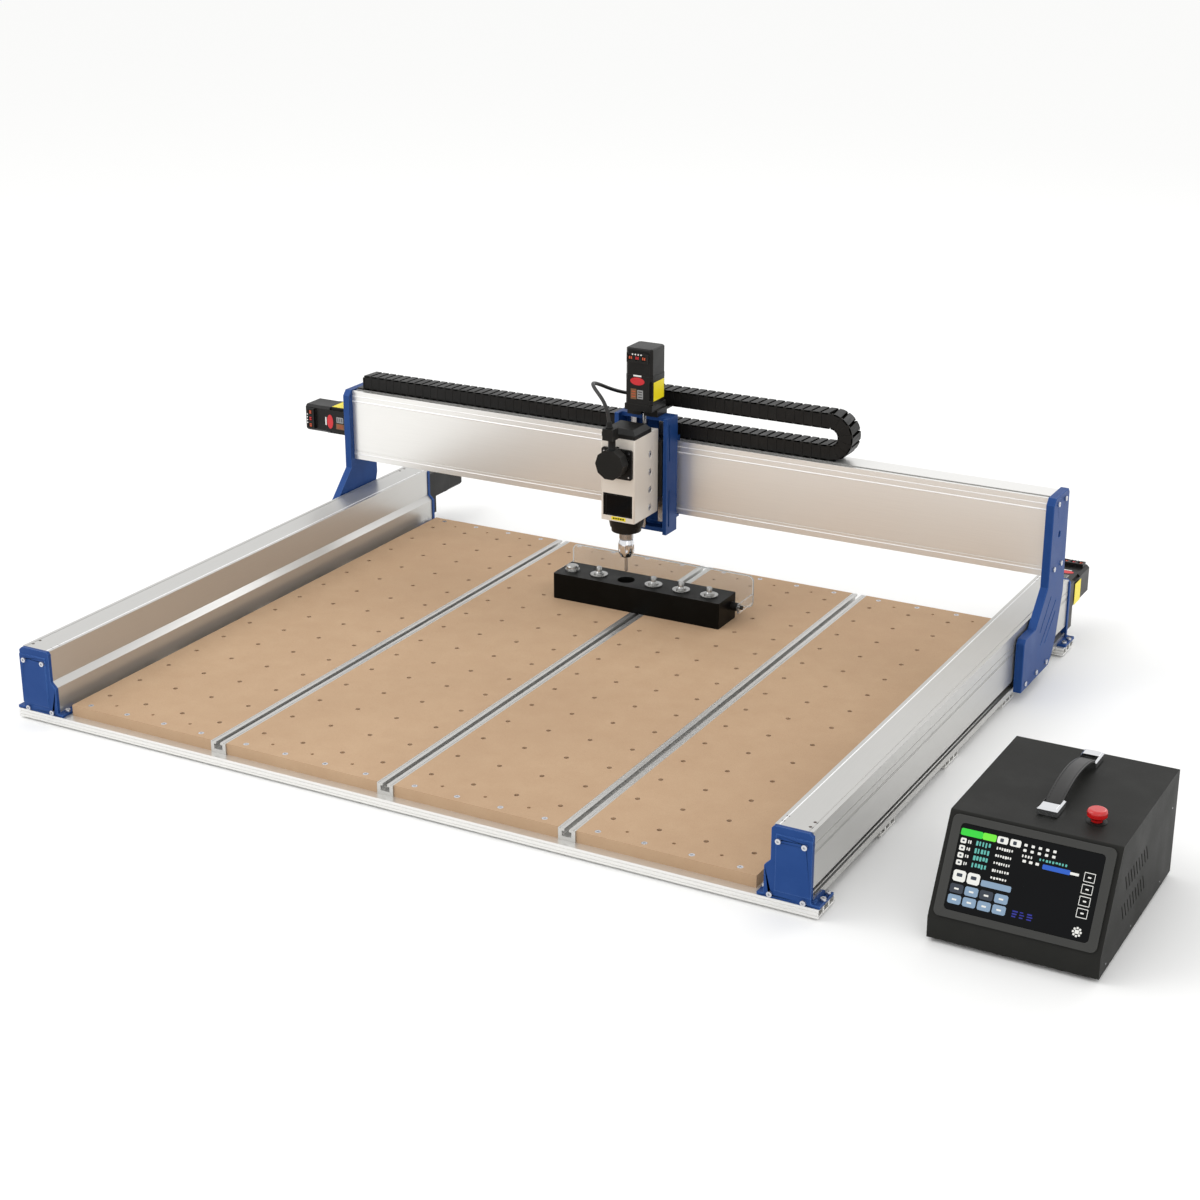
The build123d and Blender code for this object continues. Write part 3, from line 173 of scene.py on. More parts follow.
def place_mix(group, factor, a, b):
    """Mixes two colour sockets or values."""
    node = group.nodes.new("ShaderNodeMix")
    node.data_type = "RGBA"
    group.links.new(factor, node.inputs["Factor"])
    for title, value in (("A", a), ("B", b)):
        socket = [s for s in node.inputs if s.name == title and s.type == "RGBA"][0]
        if isinstance(value, tuple):
            socket.default_value = value
        else:
            group.links.new(value, socket)
    return [s for s in node.outputs if s.type == "RGBA"][0]


print("helpers for node groups ready")

# %% [markdown]
# ### Grain, drawn lines, pressed fibre
# Moulded plastic and sprayed paint have a fine even grain. Drawn aluminium and ground steel have
# the same noise stretched far along one direction. Fibreboard is a mat of short fibres with
# darker specks. All three use the object's own coordinates, so nothing slides.

# %% Grain group
grain, start, end = new_group(
    "grain_and_edge_highlight",
    [("Colour", COLOUR, (0.5, 0.5, 0.5, 1)), ("Worn Colour", COLOUR, (0.6, 0.6, 0.6, 1)),
     ("Scale", FLOAT, 900.0), ("Roughness", FLOAT, 0.5), ("Variation", FLOAT, 0.08),
     ("Edge Wear", FLOAT, 0.2)],
    [("Colour", COLOUR), ("Roughness", FLOAT), ("Height", FLOAT)])
place = grain.nodes.new("ShaderNodeTexCoord").outputs["Object"]
fine = place_noise(grain, place, start.outputs["Scale"], 3.0)
patches = place_noise(grain, place, 14.0, 4.0)
swing = place_range(grain, patches, 0.3, 0.7, -1.0, 1.0)
swing = place_math(grain, "MULTIPLY", swing, start.outputs["Variation"])
# Painted highlight: at edges, where the bevel normal turns away from the face normal, the colour is
# lifted towards the pale colour, in patches.
round_normal = grain.nodes.new("ShaderNodeBevel")
round_normal.samples = 4
round_normal.inputs["Radius"].default_value = 0.9 * MM
facing = grain.nodes.new("ShaderNodeVectorMath")
facing.operation = "DOT_PRODUCT"
grain.links.new(round_normal.outputs["Normal"], facing.inputs[0])
grain.links.new(grain.nodes.new("ShaderNodeNewGeometry").outputs["Normal"], facing.inputs[1])
edge = place_range(grain, facing.outputs["Value"], 0.995, 0.9, 0.0, 1.0)
edge = place_math(grain, "MULTIPLY", edge, start.outputs["Edge Wear"])
edge = place_math(grain, "MULTIPLY", edge, place_range(grain, patches, 0.35, 0.6, 0.3, 1.0))
# Random tone and the painted edge highlight both lift the colour towards the pale one.
lift = place_math(grain, "ADD", edge, place_math(grain, "ABSOLUTE", swing, 0.0))
grain.links.new(place_mix(grain, lift, start.outputs["Colour"], start.outputs["Worn Colour"]),
                end.inputs["Colour"])
grain.links.new(place_math(grain, "ADD", start.outputs["Roughness"], swing), end.inputs["Roughness"])
grain.links.new(fine, end.inputs["Height"])
print("group", grain.name, "has", len(grain.nodes), "nodes")

# %% Drawn lines group
drawn, start, end = new_group(
    "drawn_lines",
    [("Colour", COLOUR, (0.7, 0.7, 0.7, 1)), ("Line Colour", COLOUR, (0.6, 0.6, 0.6, 1)),
     ("Stretch", VECTOR, (1, 1, 1)), ("Scale", FLOAT, 500.0), ("Roughness", FLOAT, 0.3),
     ("Variation", FLOAT, 0.1)],
    [("Colour", COLOUR), ("Roughness", FLOAT), ("Height", FLOAT)])
place = drawn.nodes.new("ShaderNodeTexCoord").outputs["Object"]
scaled = drawn.nodes.new("ShaderNodeVectorMath")
scaled.operation = "MULTIPLY"
drawn.links.new(place, scaled.inputs[0])
drawn.links.new(start.outputs["Stretch"], scaled.inputs[1])
lines = place_noise(drawn, scaled.outputs[0], start.outputs["Scale"], 4.0, 0.6)
broad = place_noise(drawn, place, 5.0, 3.0)
shade = place_range(drawn, lines, 0.35, 0.65, 0.0, 1.0)
both = place_math(drawn, "MULTIPLY", shade, place_range(drawn, broad, 0.3, 0.7, 0.5, 1.0))
swing = place_math(drawn, "MULTIPLY", place_range(drawn, lines, 0.3, 0.7, -1.0, 1.0),
                   start.outputs["Variation"])
drawn.links.new(place_mix(drawn, both, start.outputs["Colour"], start.outputs["Line Colour"]),
                end.inputs["Colour"])
drawn.links.new(place_math(drawn, "ADD", start.outputs["Roughness"], swing), end.inputs["Roughness"])
drawn.links.new(lines, end.inputs["Height"])
print("group", drawn.name, "has", len(drawn.nodes), "nodes")

# %% Pressed fibre group
fibre, start, end = new_group(
    "pressed_fibre",
    [("Colour", COLOUR, (0.6, 0.45, 0.3, 1)), ("Dark Colour", COLOUR, (0.4, 0.28, 0.17, 1)),
     ("Pale Colour", COLOUR, (0.7, 0.55, 0.4, 1)), ("Roughness", FLOAT, 0.8)],
    [("Colour", COLOUR), ("Roughness", FLOAT), ("Height", FLOAT)])
place = fibre.nodes.new("ShaderNodeTexCoord").outputs["Object"]
short = place_noise(fibre, place, 1300.0, 5.0, 0.7)
mottle = place_noise(fibre, place, 22.0, 5.0, 0.6)
cloud = place_noise(fibre, place, 2.2, 3.0)
speck = fibre.nodes.new("ShaderNodeTexVoronoi")
speck.inputs["Scale"].default_value = 260.0
fibre.links.new(place, speck.inputs["Vector"])
specks = place_range(fibre, speck.outputs["Distance"], 0.02, 0.16, 0.55, 0.0)
body = place_mix(fibre, place_range(fibre, mottle, 0.3, 0.7, 0.0, 0.55),
                 start.outputs["Colour"], start.outputs["Pale Colour"])
body = place_mix(fibre, place_range(fibre, cloud, 0.35, 0.7, 0.0, 0.22), body,
                 start.outputs["Dark Colour"])
body = place_mix(fibre, place_range(fibre, short, 0.42, 0.75, 0.0, 0.35), body,
                 start.outputs["Dark Colour"])
body = place_mix(fibre, specks, body, start.outputs["Dark Colour"])
fibre.links.new(body, end.inputs["Colour"])
fibre.links.new(place_math(fibre, "ADD", start.outputs["Roughness"],
                           place_range(fibre, mottle, 0.3, 0.7, -0.06, 0.06)),
                end.inputs["Roughness"])
fibre.links.new(short, end.inputs["Height"])
print("group", fibre.name, "has", len(fibre.nodes), "nodes")

# %% [markdown]
# ### Finishes
# A finish is one material: its own shader, one of the groups above with this finish's values,
# and a bump for relief. Colours are given as they look on a screen, from 0 to 255, and turned
# into the linear values that a shader wants. Each finish then lists its relief, two colours,
# the scale of its texture, its roughness, how much that varies, and its painted edge highlight.

# %% Finish maker
def tone(red, green, blue):
    """A screen colour as a linear one."""
    def linear(value):
        value /= 255.0
        return value / 12.92 if value <= 0.04045 else ((value + 0.055) / 1.055) ** 2.4
    return (linear(red), linear(green), linear(blue), 1.0)


def new_finish(name, group, bump, metallic=0.0, coat=0.0, shine=0.5, **values):
    """A material that takes colour, roughness and relief from a surface group."""
    finish = bpy.data.materials.new(name)
    finish.use_nodes = True
    tree = finish.node_tree
    shader = tree.nodes["Principled BSDF"]
    shader.inputs["Metallic"].default_value = metallic
    shader.inputs["Coat Weight"].default_value = coat
    shader.inputs["Specular IOR Level"].default_value = shine
    surface = tree.nodes.new("ShaderNodeGroup")
    surface.node_tree = group
    for title, value in values.items():
        surface.inputs[title.replace("_", " ")].default_value = value
    relief = tree.nodes.new("ShaderNodeBump")
    relief.inputs["Strength"].default_value = bump
    relief.inputs["Distance"].default_value = 0.0004
    tree.links.new(surface.outputs["Colour"], shader.inputs["Base Color"])
    tree.links.new(surface.outputs["Roughness"], shader.inputs["Roughness"])
    tree.links.new(surface.outputs["Height"], relief.inputs["Height"])
    tree.links.new(relief.outputs["Normal"], shader.inputs["Normal"])
    return finish


def grained(name, relief, colour, pale_and_highlight, scale, rough, vary, edge_highlight, **shader):
    """A grained finish with a painted highlight on its edges; colours are screen values, shader
    holds the rest.
    """
    return new_finish(name, grain, relief, Colour=tone(*colour), Worn_Colour=tone(*pale_and_highlight),
                      Scale=scale, Roughness=rough, Variation=vary, Edge_Wear=edge_highlight, **shader)


def lined(name, relief, colour, line, stretch, scale, rough, vary, metallic=1.0):
    """A metal with lines left by drawing or grinding."""
    return new_finish(name, drawn, relief, metallic=metallic, Colour=tone(*colour),
                      Line_Colour=tone(*line), Stretch=stretch, Scale=scale, Roughness=rough,
                      Variation=vary)


print("a screen grey of 128 is", round(tone(128, 128, 128)[0], 3), "in linear light")

# %% Metals
ALONG_X, ALONG_Y, ALONG_Z = (0.01, 1, 1), (1, 0.01, 1), (1, 1, 0.01)


def aluminium(name, stretch, shade):
    """Satin anodised aluminium with faint lines along the way it was drawn."""
    return lined(name, 0.008, (shade, shade - 1, shade - 4), (shade - 4, shade - 5, shade - 8),
                 stretch, 1500.0, 0.32, 0.02, 0.75)


beam_aluminium = aluminium("aluminium_along_x", ALONG_X, 238)
rail_aluminium = aluminium("aluminium_along_y", ALONG_Y, 201)
# Painted highlight: the beads are near white so that they show as lines of light along the
# extrusions.
painted_highlight_bead = lined("painted_highlight_bead", 0.02, (252, 252, 252), (240, 240, 240), ALONG_X, 300.0,
                       0.3, 0.05, 0.25)
ground_steel = lined("ground_steel", 0.1, (196, 196, 198), (150, 150, 152), ALONG_Z, 900.0,
                     0.24, 0.08)
holder_steel = lined("holder_steel", 0.05, (186, 186, 184), (120, 120, 118), ALONG_Z, 1100.0,
                     0.26, 0.08)
bolt_steel = grained("bolt_steel", 0.08, (205, 206, 210), (235, 235, 238), 2200.0, 0.28, 0.08,
                     0.4, metallic=0.95)
chrome = grained("polished_chrome", 0.02, (226, 227, 230), (245, 245, 246), 3000.0, 0.12, 0.04,
                 0.2, metallic=1.0)
print("metals:", beam_aluminium.name, rail_aluminium.name, ground_steel.name)

# %% Paints and plastics
blue_paint = grained("blue_paint", 0.05, (24, 64, 126), (104, 150, 222), 1500.0, 0.46, 0.04,
                     0.7, metallic=0.2, shine=0.22)
silver_paint = grained("silver_paint", 0.06, (226, 219, 209), (244, 241, 236), 1600.0, 0.4, 0.05,
                       0.5, metallic=0.15, coat=0.1)
black_anodised = grained("black_anodised", 0.1, (24, 23, 22), (84, 83, 80), 1400.0, 0.4, 0.07,
                         0.5, metallic=0.2, shine=0.25)
black_moulding = grained("black_moulding", 0.22, (18, 18, 17), (60, 60, 58), 1100.0, 0.46, 0.06,
                         0.35, shine=0.22)
rack_plastic = grained("rack_plastic", 0.16, (10, 10, 8), (48, 47, 44), 700.0, 0.38, 0.06, 0.3,
                       shine=0.08)
chain_nylon = grained("chain_nylon", 0.15, (20, 19, 18), (66, 65, 62), 1300.0, 0.38, 0.08, 0.4,
                      shine=0.2)
console_coat = grained("console_coat", 0.35, (35, 35, 33), (70, 70, 67), 1000.0, 0.5, 0.05, 0.3,
                       shine=0.1)
bezel_coat = grained("bezel_coat", 0.25, (54, 54, 52), (78, 78, 75), 1000.0, 0.42, 0.04, 0.5,
                     shine=0.3)
foot_rubber = grained("foot_rubber", 0.25, (28, 28, 28), (60, 60, 60), 800.0, 0.75, 0.06, 0.2)
lead_jacket = grained("lead_jacket", 0.1, (32, 31, 30), (66, 65, 63), 1500.0, 0.45, 0.06, 0.2)
red_button = grained("red_button", 0.03, (196, 12, 14), (230, 70, 62), 1500.0, 0.25, 0.04, 0.3,
                     coat=0.5)
print("paints and plastics ready")

# %% Fibreboard, glass and prints
board_face = new_finish("fibreboard", fibre, 0.25, Colour=tone(188, 156, 123),
                        Dark_Colour=tone(136, 104, 76), Pale_Colour=tone(199, 170, 138),
                        Roughness=0.82)
dark_glass = grained("dark_glass", 0.01, (6, 7, 9), (24, 26, 30), 400.0, 0.1, 0.03, 0.1,
                     shine=0.12)
clear_acrylic = grained("clear_acrylic", 0.01, (253, 255, 255), (255, 255, 255), 300.0, 0.05,
                        0.02, 0.6)
acrylic_shader = clear_acrylic.node_tree.nodes["Principled BSDF"]
acrylic_shader.inputs["Transmission Weight"].default_value = 0.9
acrylic_shader.inputs["IOR"].default_value = 1.49


def print_ink(name, colour, rough=0.4):
    """A printed label's ink, a little uneven."""
    pale = tuple(min(1.0, c * 1.25 + 0.02) for c in colour[:3]) + (1.0,)
    return new_finish(name, grain, 0.04, Colour=colour, Worn_Colour=pale, Scale=1800.0,
                      Roughness=rough, Variation=0.07, Edge_Wear=0.0)


def lit_ink(name, colour, strength):
    """A colour of the lit screen under its cover glass."""
    finish = print_ink(name, colour, 0.25)
    shader = finish.node_tree.nodes["Principled BSDF"]
    shader.inputs["Emission Color"].default_value = colour
    shader.inputs["Emission Strength"].default_value = strength
    return finish


yellow_ink = print_ink("yellow_ink", tone(245, 225, 20))
red_ink = print_ink("red_ink", tone(205, 30, 40))
white_ink = print_ink("white_ink", tone(235, 235, 232))
grey_ink = print_ink("grey_ink", tone(150, 150, 150))
brown_ink = print_ink("brown_ink", tone(120, 80, 45))
orange_ink = print_ink("orange_ink", tone(200, 80, 40))
frosted_edge = print_ink("frosted_edge", tone(232, 236, 236), 0.5)
hole_shade = print_ink("hole_shade", tone(70, 50, 34), 0.8)
screw_black = print_ink("screw_black", tone(26, 26, 28), 0.35)
studio_white = print_ink("studio_white", tone(250, 250, 249), 0.9)
studio_white.node_tree.nodes["Principled BSDF"].inputs["Specular IOR Level"].default_value = 0.0
studio_floor.data.materials.append(studio_white)
print("materials so far:", len(bpy.data.materials))

# %% [markdown]
# ## Dress the solids
# Each solid keeps its exact shape and gets its finish. A machined or folded edge is never
# razor sharp, so a weld joins the loaded faces and a narrow bevel rounds the sharp edges and
# catches the light.

# %% Finish every solid, and bevel the listed ones
FINISH_OF = {
    beam_aluminium: "base_beams gantry_beam gantry_cover",
    rail_aluminium: "t_tracks y_rails",
    board_face: "spoilboards",
    blue_paint: "end_brackets side_plates x_carriage z_housing",
    ground_steel: "y_guides y_blocks x_guides x_blocks z_guides z_blocks left_y_screw "
                  "right_y_screw x_screw z_screw spindle_shaft end_mill",
    bolt_steel: "board_screws bracket_bolts side_plate_bolts",
    chrome: "collet_nut strap_ends",
    holder_steel: "tool_holders tool_setter",
    black_anodised: "y_bearings y_motors x_motor z_motor z_motor_mount z_plate saddles "
                    "chain_anchor chain_bracket nose_ring cover_pins",
    black_moulding: "spindle_cap plug_base power_plug console_ports",
    rack_plastic: "tool_rack",
    chain_nylon: "chain_lower chain_bend chain_upper",
    silver_paint: "spindle_body",
    dark_glass: "spindle_window console_screen",
    clear_acrylic: "rack_cover",
    console_coat: "console_shell console_base",
    bezel_coat: "console_bezel",
    foot_rubber: "foot_pads console_feet",
    lead_jacket: "spindle_lead strap",
    red_button: "stop_button",
}
BEVEL_OF = {
    "y_rails": 0.8, "base_beams": 0.5, "gantry_beam": 0.7, "gantry_cover": 0.25, "t_tracks": 0.2,
    "spoilboards": 0.4, "end_brackets": 0.7, "side_plates": 0.5, "x_carriage": 0.8,
    "z_housing": 0.8, "spindle_body": 0.9, "spindle_cap": 0.8, "plug_base": 0.6,
    "power_plug": 0.9, "tool_rack": 0.9, "tool_holders": 0.4, "tool_setter": 0.5,
    "collet_nut": 0.5, "y_motors": 0.7, "x_motor": 0.7, "z_motor": 0.7, "z_motor_mount": 0.7,
    "nose_ring": 0.7, "console_bezel": 0.9, "strap_ends": 0.8, "strap": 0.6, "saddles": 0.5,
    "bracket_bolts": 0.35, "side_plate_bolts": 0.35, "rack_cover": 0.4, "chain_bracket": 0.5,
}


WELD_REACH = 0.01 * MM
SHARP_EDGE = math.radians(38)


def soften(piece, width):
    """A weld and a narrow rounded bevel on a piece's sharp edges."""
    weld = piece.modifiers.new("join_faces", "WELD")
    weld.merge_threshold = WELD_REACH
    round_off = piece.modifiers.new("round_edges", "BEVEL")
    round_off.width = width * MM
    round_off.segments = 2
    round_off.limit_method = "ANGLE"
    round_off.angle_limit = SHARP_EDGE


for finish, names in FINISH_OF.items():
    for name in names.split():
        nodes[name].data.materials.clear()
        nodes[name].data.materials.append(finish)
for name, width in BEVEL_OF.items():
    soften(nodes[name], width)
undressed = set(nodes) - set(" ".join(FINISH_OF.values()).split())
print("solids dressed:", len(nodes) - len(undressed), "undressed:", sorted(undressed))

# %% [markdown]
# ## Helpers for the added pieces
# The small pieces are built straight from points. A plate is an outline carried along its
# normal, a turned piece is a profile spun round an axis, and one object may hold many of them.

# %% Mesh helpers
def new_piece(name, shape, finishes, body=None, bevel=0.0):
    """Turns a bmesh into an object with finishes, which rides on a body if one is given."""
    mesh = bpy.data.meshes.new(name)
    bmesh.ops.recalc_face_normals(shape, faces=shape.faces)
    shape.to_mesh(mesh)
    shape.free()
    piece = bpy.data.objects.new(name, mesh)
    bpy.context.scene.collection.objects.link(piece)
    for finish in finishes:
        mesh.materials.append(finish)
    if bevel:
        soften(piece, bevel)
    if body:
        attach(piece, body)
    return piece


def circle(centre, across, other, radius, sides, squeeze=1.0):
    """The points of a circle, or of an oval squeezed along other."""
    turns = [2 * math.pi * i / sides for i in range(sides)]
    return [Vector(centre) + across * (radius * math.cos(turn))
            + other * (radius * squeeze * math.sin(turn)) for turn in turns]


def new_ring(shape, points):
    """One vertex for each point."""
    return [shape.verts.new(point) for point in points]


def join_rings(shape, rings):
    """Faces from each ring of vertices to the next."""
    faces = []
    for near, far in zip(rings, rings[1:]):
        for i in range(len(near)):
            j = (i + 1) % len(near)
            faces.append(shape.faces.new((near[i], near[j], far[j], far[i])))
    return faces


def add_stack(shape, rings, index):
    """A closed solid through rings of vertices, with a cap at each end."""
    caps = [shape.faces.new(rings[0]), shape.faces.new(rings[-1])]
    for face in caps + join_rings(shape, rings):
        face.material_index = index


def add_prism(shape, outline, depth, index=0):
    """Adds a solid whose outline is a loop of points, carried along the vector depth."""
    far = [Vector(point) + Vector(depth) for point in outline]
    add_stack(shape, [new_ring(shape, outline), new_ring(shape, far)], index)


def add_turned(shape, base, axis, profile, sides, index=0):
    """Adds a piece turned about axis: profile holds (distance along, radius) pairs."""
    axis = Vector(axis).normalized()
    across = axis.orthogonal().normalized()
    other = axis.cross(across)
    rings = [new_ring(shape, circle(Vector(base) + axis * along, across, other, radius, sides))
             for along, radius in profile]
    add_stack(shape, rings, index)


def corners(node):
    """A solid's lowest and highest corner as vectors."""
    low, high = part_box(node)
    return Vector(low), Vector(high)


X_WAY, Y_WAY = Vector((1, 0, 0)), Vector((0, 1, 0))
UP, FRONT = Vector((0, 0, 1)), Vector((0, -1, 0))
print("mesh helpers ready")

# %% [markdown]
# ## Energy chain
# The chain that carries the cables is a row of moulded links, each two side plates with a bar
# above and below. One link is built and copied along the path: straight on the beam, round the
# bend and back to the carriage. The bend travels half as far as the carriage.

# %% One link
LINK = 18.0 * MM
CHAIN_SIDE = 3.2 * MM
lower_low, lower_high = corners("chain_lower")
upper_low, upper_high = corners("chain_upper")
bend_low, bend_high = corners("chain_bend")
CHAIN_TALL = lower_high.z - lower_low.z
CHAIN_WIDE = lower_high.y - lower_low.y


def add_link(shape, settle, length):
    """One link: x along the chain, y across it, z up; settle puts each of its points in place."""
    first = len(shape.verts)
    tall, wide = CHAIN_TALL, CHAIN_WIDE
    nose = length / 2
    for side in (-1, 1):
        outer = side * wide / 2
        inner = outer - side * CHAIN_SIDE * 0.6
        plate = [(-nose * 0.94, 0.04), (0.0, 0.0), (nose * 0.8, 0.0), (nose * 0.97, 0.1),
                 (nose * 0.97, 0.9), (nose * 0.8, 1.0), (0.0, 1.0), (-nose * 0.94, 0.96)]
        add_prism(shape, [(x, outer, z * tall) for x, z in plate], (0, inner - outer, 0))
        tongue = [(-nose * 1.1, 0.12), (-nose * 0.5, 0.12), (-nose * 0.5, 0.88), (-nose * 1.1, 0.88)]
        add_prism(shape, [(x, inner, z * tall) for x, z in tongue], (0, -side * CHAIN_SIDE * 0.4, 0))
    for low, high in ((0.0, 0.1), (0.9, 1.0)):
        slant = nose * 0.42
        for start, stop in ((-0.86, -0.14), (-0.14, 0.58)):
            bar = [(nose * start - slant / 2, -wide / 2), (nose * stop - slant / 2, -wide / 2),
                   (nose * stop + slant / 2, wide / 2), (nose * start + slant / 2, wide / 2)]
            add_prism(shape, [(x, y, low * tall) for x, y in bar], (0, 0, (high - low) * tall))
    shape.verts.ensure_lookup_table()
    for vertex in shape.verts[first:]:
        vertex.co = settle(vertex.co)


print("a link is", round(LINK / MM), "mm long and", round(CHAIN_TALL / MM), "mm tall")

# %% The chain's three runs
chain_mid = (lower_low.y + lower_high.y) / 2
chain_bend_z = (bend_low.z + bend_high.z) / 2
chain_radius = (bend_high.z - bend_low.z) / 2 - CHAIN_TALL / 2


def chain_run(name, x0, x1, z, node):
    """A straight run of links from x0 to x1 at height z."""
    shape = bmesh.new()
    count = round((x1 - x0) / LINK)
    step = (x1 - x0) / count
    for i in range(count):
        shift = Vector((x0 + (i + 0.5) * step, chain_mid, z))
        add_link(shape, lambda point, shift=shift: point + shift, step)
    piece = new_piece(name, shape, [chain_nylon])
    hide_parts(node)
    return piece, count


lower_run, lower_count = chain_run("chain_links_lower", lower_low.x, lower_high.x, lower_low.z,
                                   "chain_lower")
upper_run, upper_count = chain_run("chain_links_upper", upper_low.x, upper_high.x, upper_low.z,
                                   "chain_upper")
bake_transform(lower_run)
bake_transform(upper_run)
BEND_LINKS = 7


def bent(point, middle):
    """A point of a straight link, wrapped round the bend at the angle of the link's middle."""
    angle = middle + point.x / chain_radius
    reach = chain_radius + CHAIN_TALL / 2 - point.z
    return Vector((lower_high.x + reach * math.sin(angle), chain_mid + point.y,
                   chain_bend_z - reach * math.cos(angle)))


shape = bmesh.new()
for i in range(BEND_LINKS):
    middle = math.pi * (i + 0.5) / BEND_LINKS
    add_link(shape, lambda point, middle=middle: bent(point, middle),
             math.pi * chain_radius / BEND_LINKS)
bend_links = new_piece("chain_links_bend", shape, [chain_nylon], "chain_turn")
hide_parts("chain_bend")
print("links:", lower_count, "below,", BEND_LINKS, "round the bend,", upper_count, "above")

# %% [markdown]
# ## Spindle lead
# The spindle's power lead leaves the plug's gland upwards, loops over to the left behind the
# motor and goes into the chain. It is held at both ends and springs a little, so it is one
# smooth curve through given points. Its first end moves with the spindle and its last with
# the carriage; the curve is made into a mesh.

# %% Spindle lead
LEAD_RADIUS = 3.5 * MM
lead_points = [
    (-0.047, 0.2475, 0.4053), (-0.047, 0.2475, 0.4213), (-0.055, 0.2455, 0.4533),
    (-0.097, 0.271, 0.4753), (-0.115, 0.315, 0.4673), (-0.109, 0.375, 0.4393),
    (-0.101, 0.428, 0.4201), (-0.093, 0.446, 0.4191), (-0.082, 0.450, 0.4191),
]
lead_curve = bpy.data.curves.new("spindle_lead_line", "CURVE")
lead_curve.dimensions = "3D"
lead_curve.bevel_depth = LEAD_RADIUS
lead_curve.bevel_resolution = 6
lead_curve.resolution_u = 16
lead_curve.use_fill_caps = True
spline = lead_curve.splines.new("NURBS")
spline.points.add(len(lead_points) - 1)
for point, place in zip(spline.points, lead_points):
    point.co = (*place, 1.0)
spline.order_u = 3
spline.use_endpoint_u = True
lead_guide = bpy.data.objects.new("lead_guide", lead_curve)


def curve_line(guide):
    """The points along a curve's own line, without its thickness."""
    bare = guide.copy()
    bare.data = guide.data.copy()
    bare.data.bevel_depth = 0.0
    line = bpy.data.meshes.new_from_object(bare)
    points = [vertex.co.copy() for vertex in line.vertices]
    bpy.data.objects.remove(bare)
    return points


lead_line = curve_line(lead_guide)
lead_mesh = bpy.data.meshes.new_from_object(lead_guide)
lead_mesh.materials.clear()
lead_mesh.materials.append(lead_jacket)
bpy.data.objects.remove(lead_guide)
for face in lead_mesh.polygons:
    face.use_smooth = True
lead = bpy.data.objects.new("spindle_lead_line", lead_mesh)
bpy.context.scene.collection.objects.link(lead)
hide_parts("spindle_lead")
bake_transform(lead)

# %% [markdown]
# ## Labels and sockets of the motors
# Each motor carries a yellow strip beside its mount, a red oval print and small sockets in the
# driver's end. They are thin pieces laid on the housing, without any lettering.

# %% Motor dress
def add_disc(shape, centre, normal, radius, thick, index, sides, squeeze=1.0, along=None):
    """A flat disc or oval on a face."""
    normal = Vector(normal).normalized()
    across = Vector(along).normalized() if along else normal.orthogonal().normalized()
    add_prism(shape, circle(centre, across, normal.cross(across), radius, sides, squeeze),
              normal * thick, index)


def add_patch(shape, centre, across, up, out, wide, tall, thick, index):
    """A thin rectangular print on the face that looks out."""
    across, up = Vector(across).normalized(), Vector(up).normalized()
    outline = [Vector(centre) + across * (sx * wide / 2) + up * (sy * tall / 2)
               for sx, sy in ((-1, -1), (1, -1), (1, 1), (-1, 1))]
    add_prism(shape, outline, Vector(out).normalized() * thick, index)


INKS = [yellow_ink, red_ink, white_ink, grey_ink, brown_ink, orange_ink, black_moulding]
YELLOW, RED, WHITE, GREY, BROWN, ORANGE, BLACK = range(7)
THIN = 0.35 * MM
MOTOR_LONG, MOTOR_HALF, SOCKETS_OUT = 108 * MM, 28.5 * MM, 7 * MM
Y_MOTOR_Z = 92 * MM


def motor_dress(name, body, base, axis, face, side):
    """Prints and sockets on a motor that starts at base and runs along axis. Its main print
    and sockets look along face, and its yellow strip looks along side."""
    base, axis, face, side = Vector(base), Vector(axis), Vector(face), Vector(side)
    shape = bmesh.new()
    front = base + face * (MOTOR_HALF - 0.05 * MM)
    oval = front + axis * (45 * MM) - side * (2 * MM)
    add_disc(shape, oval, face, 15 * MM, THIN, RED, 32, 0.5, side)
    add_patch(shape, oval + axis * (10.5 * MM), side, axis, face, 17 * MM, 3 * MM, THIN, WHITE)
    for shift, tall, ink in ((-10 * MM, 20 * MM, BROWN), (4 * MM, 17 * MM, GREY)):
        add_patch(shape, front + axis * (20 * MM) + side * shift, side, axis, face, 12 * MM, tall,
                  THIN, ink)
        for row in range(3):
            add_patch(shape, front + axis * (15 * MM + row * 5 * MM) + side * shift, side, axis,
                      face, 8 * MM, 1.4 * MM, 2 * THIN, BLACK if ink == GREY else ORANGE)
    strip = base + side * (MOTOR_HALF - 0.05 * MM) + axis * (26 * MM)
    add_patch(shape, strip, face, axis, side, 42 * MM, 36 * MM, THIN, YELLOW)
    block = base + face * (MOTOR_HALF + SOCKETS_OUT - 0.6 * MM) + axis * (MOTOR_LONG - 17 * MM)
    for i in range(4):
        add_disc(shape, block + axis * (7 * MM) + side * ((i - 1.5) * 6 * MM), face, 1.5 * MM,
                 2 * THIN, WHITE, 12)
    for i in range(3):
        socket = block + side * ((i - 1) * 14 * MM)
        add_patch(shape, socket - face * (2.6 * MM), side, axis, face, 8 * MM, 9 * MM, 0.8 * MM,
                  BLACK)
        for pin in (-2, 2):
            add_patch(shape, socket + side * (pin * MM) - face * (2 * MM), side, axis, face,
                      2.4 * MM, 5 * MM, 1.6 * MM, ORANGE if i != 1 else RED)
    new_piece(name, shape, INKS, body)


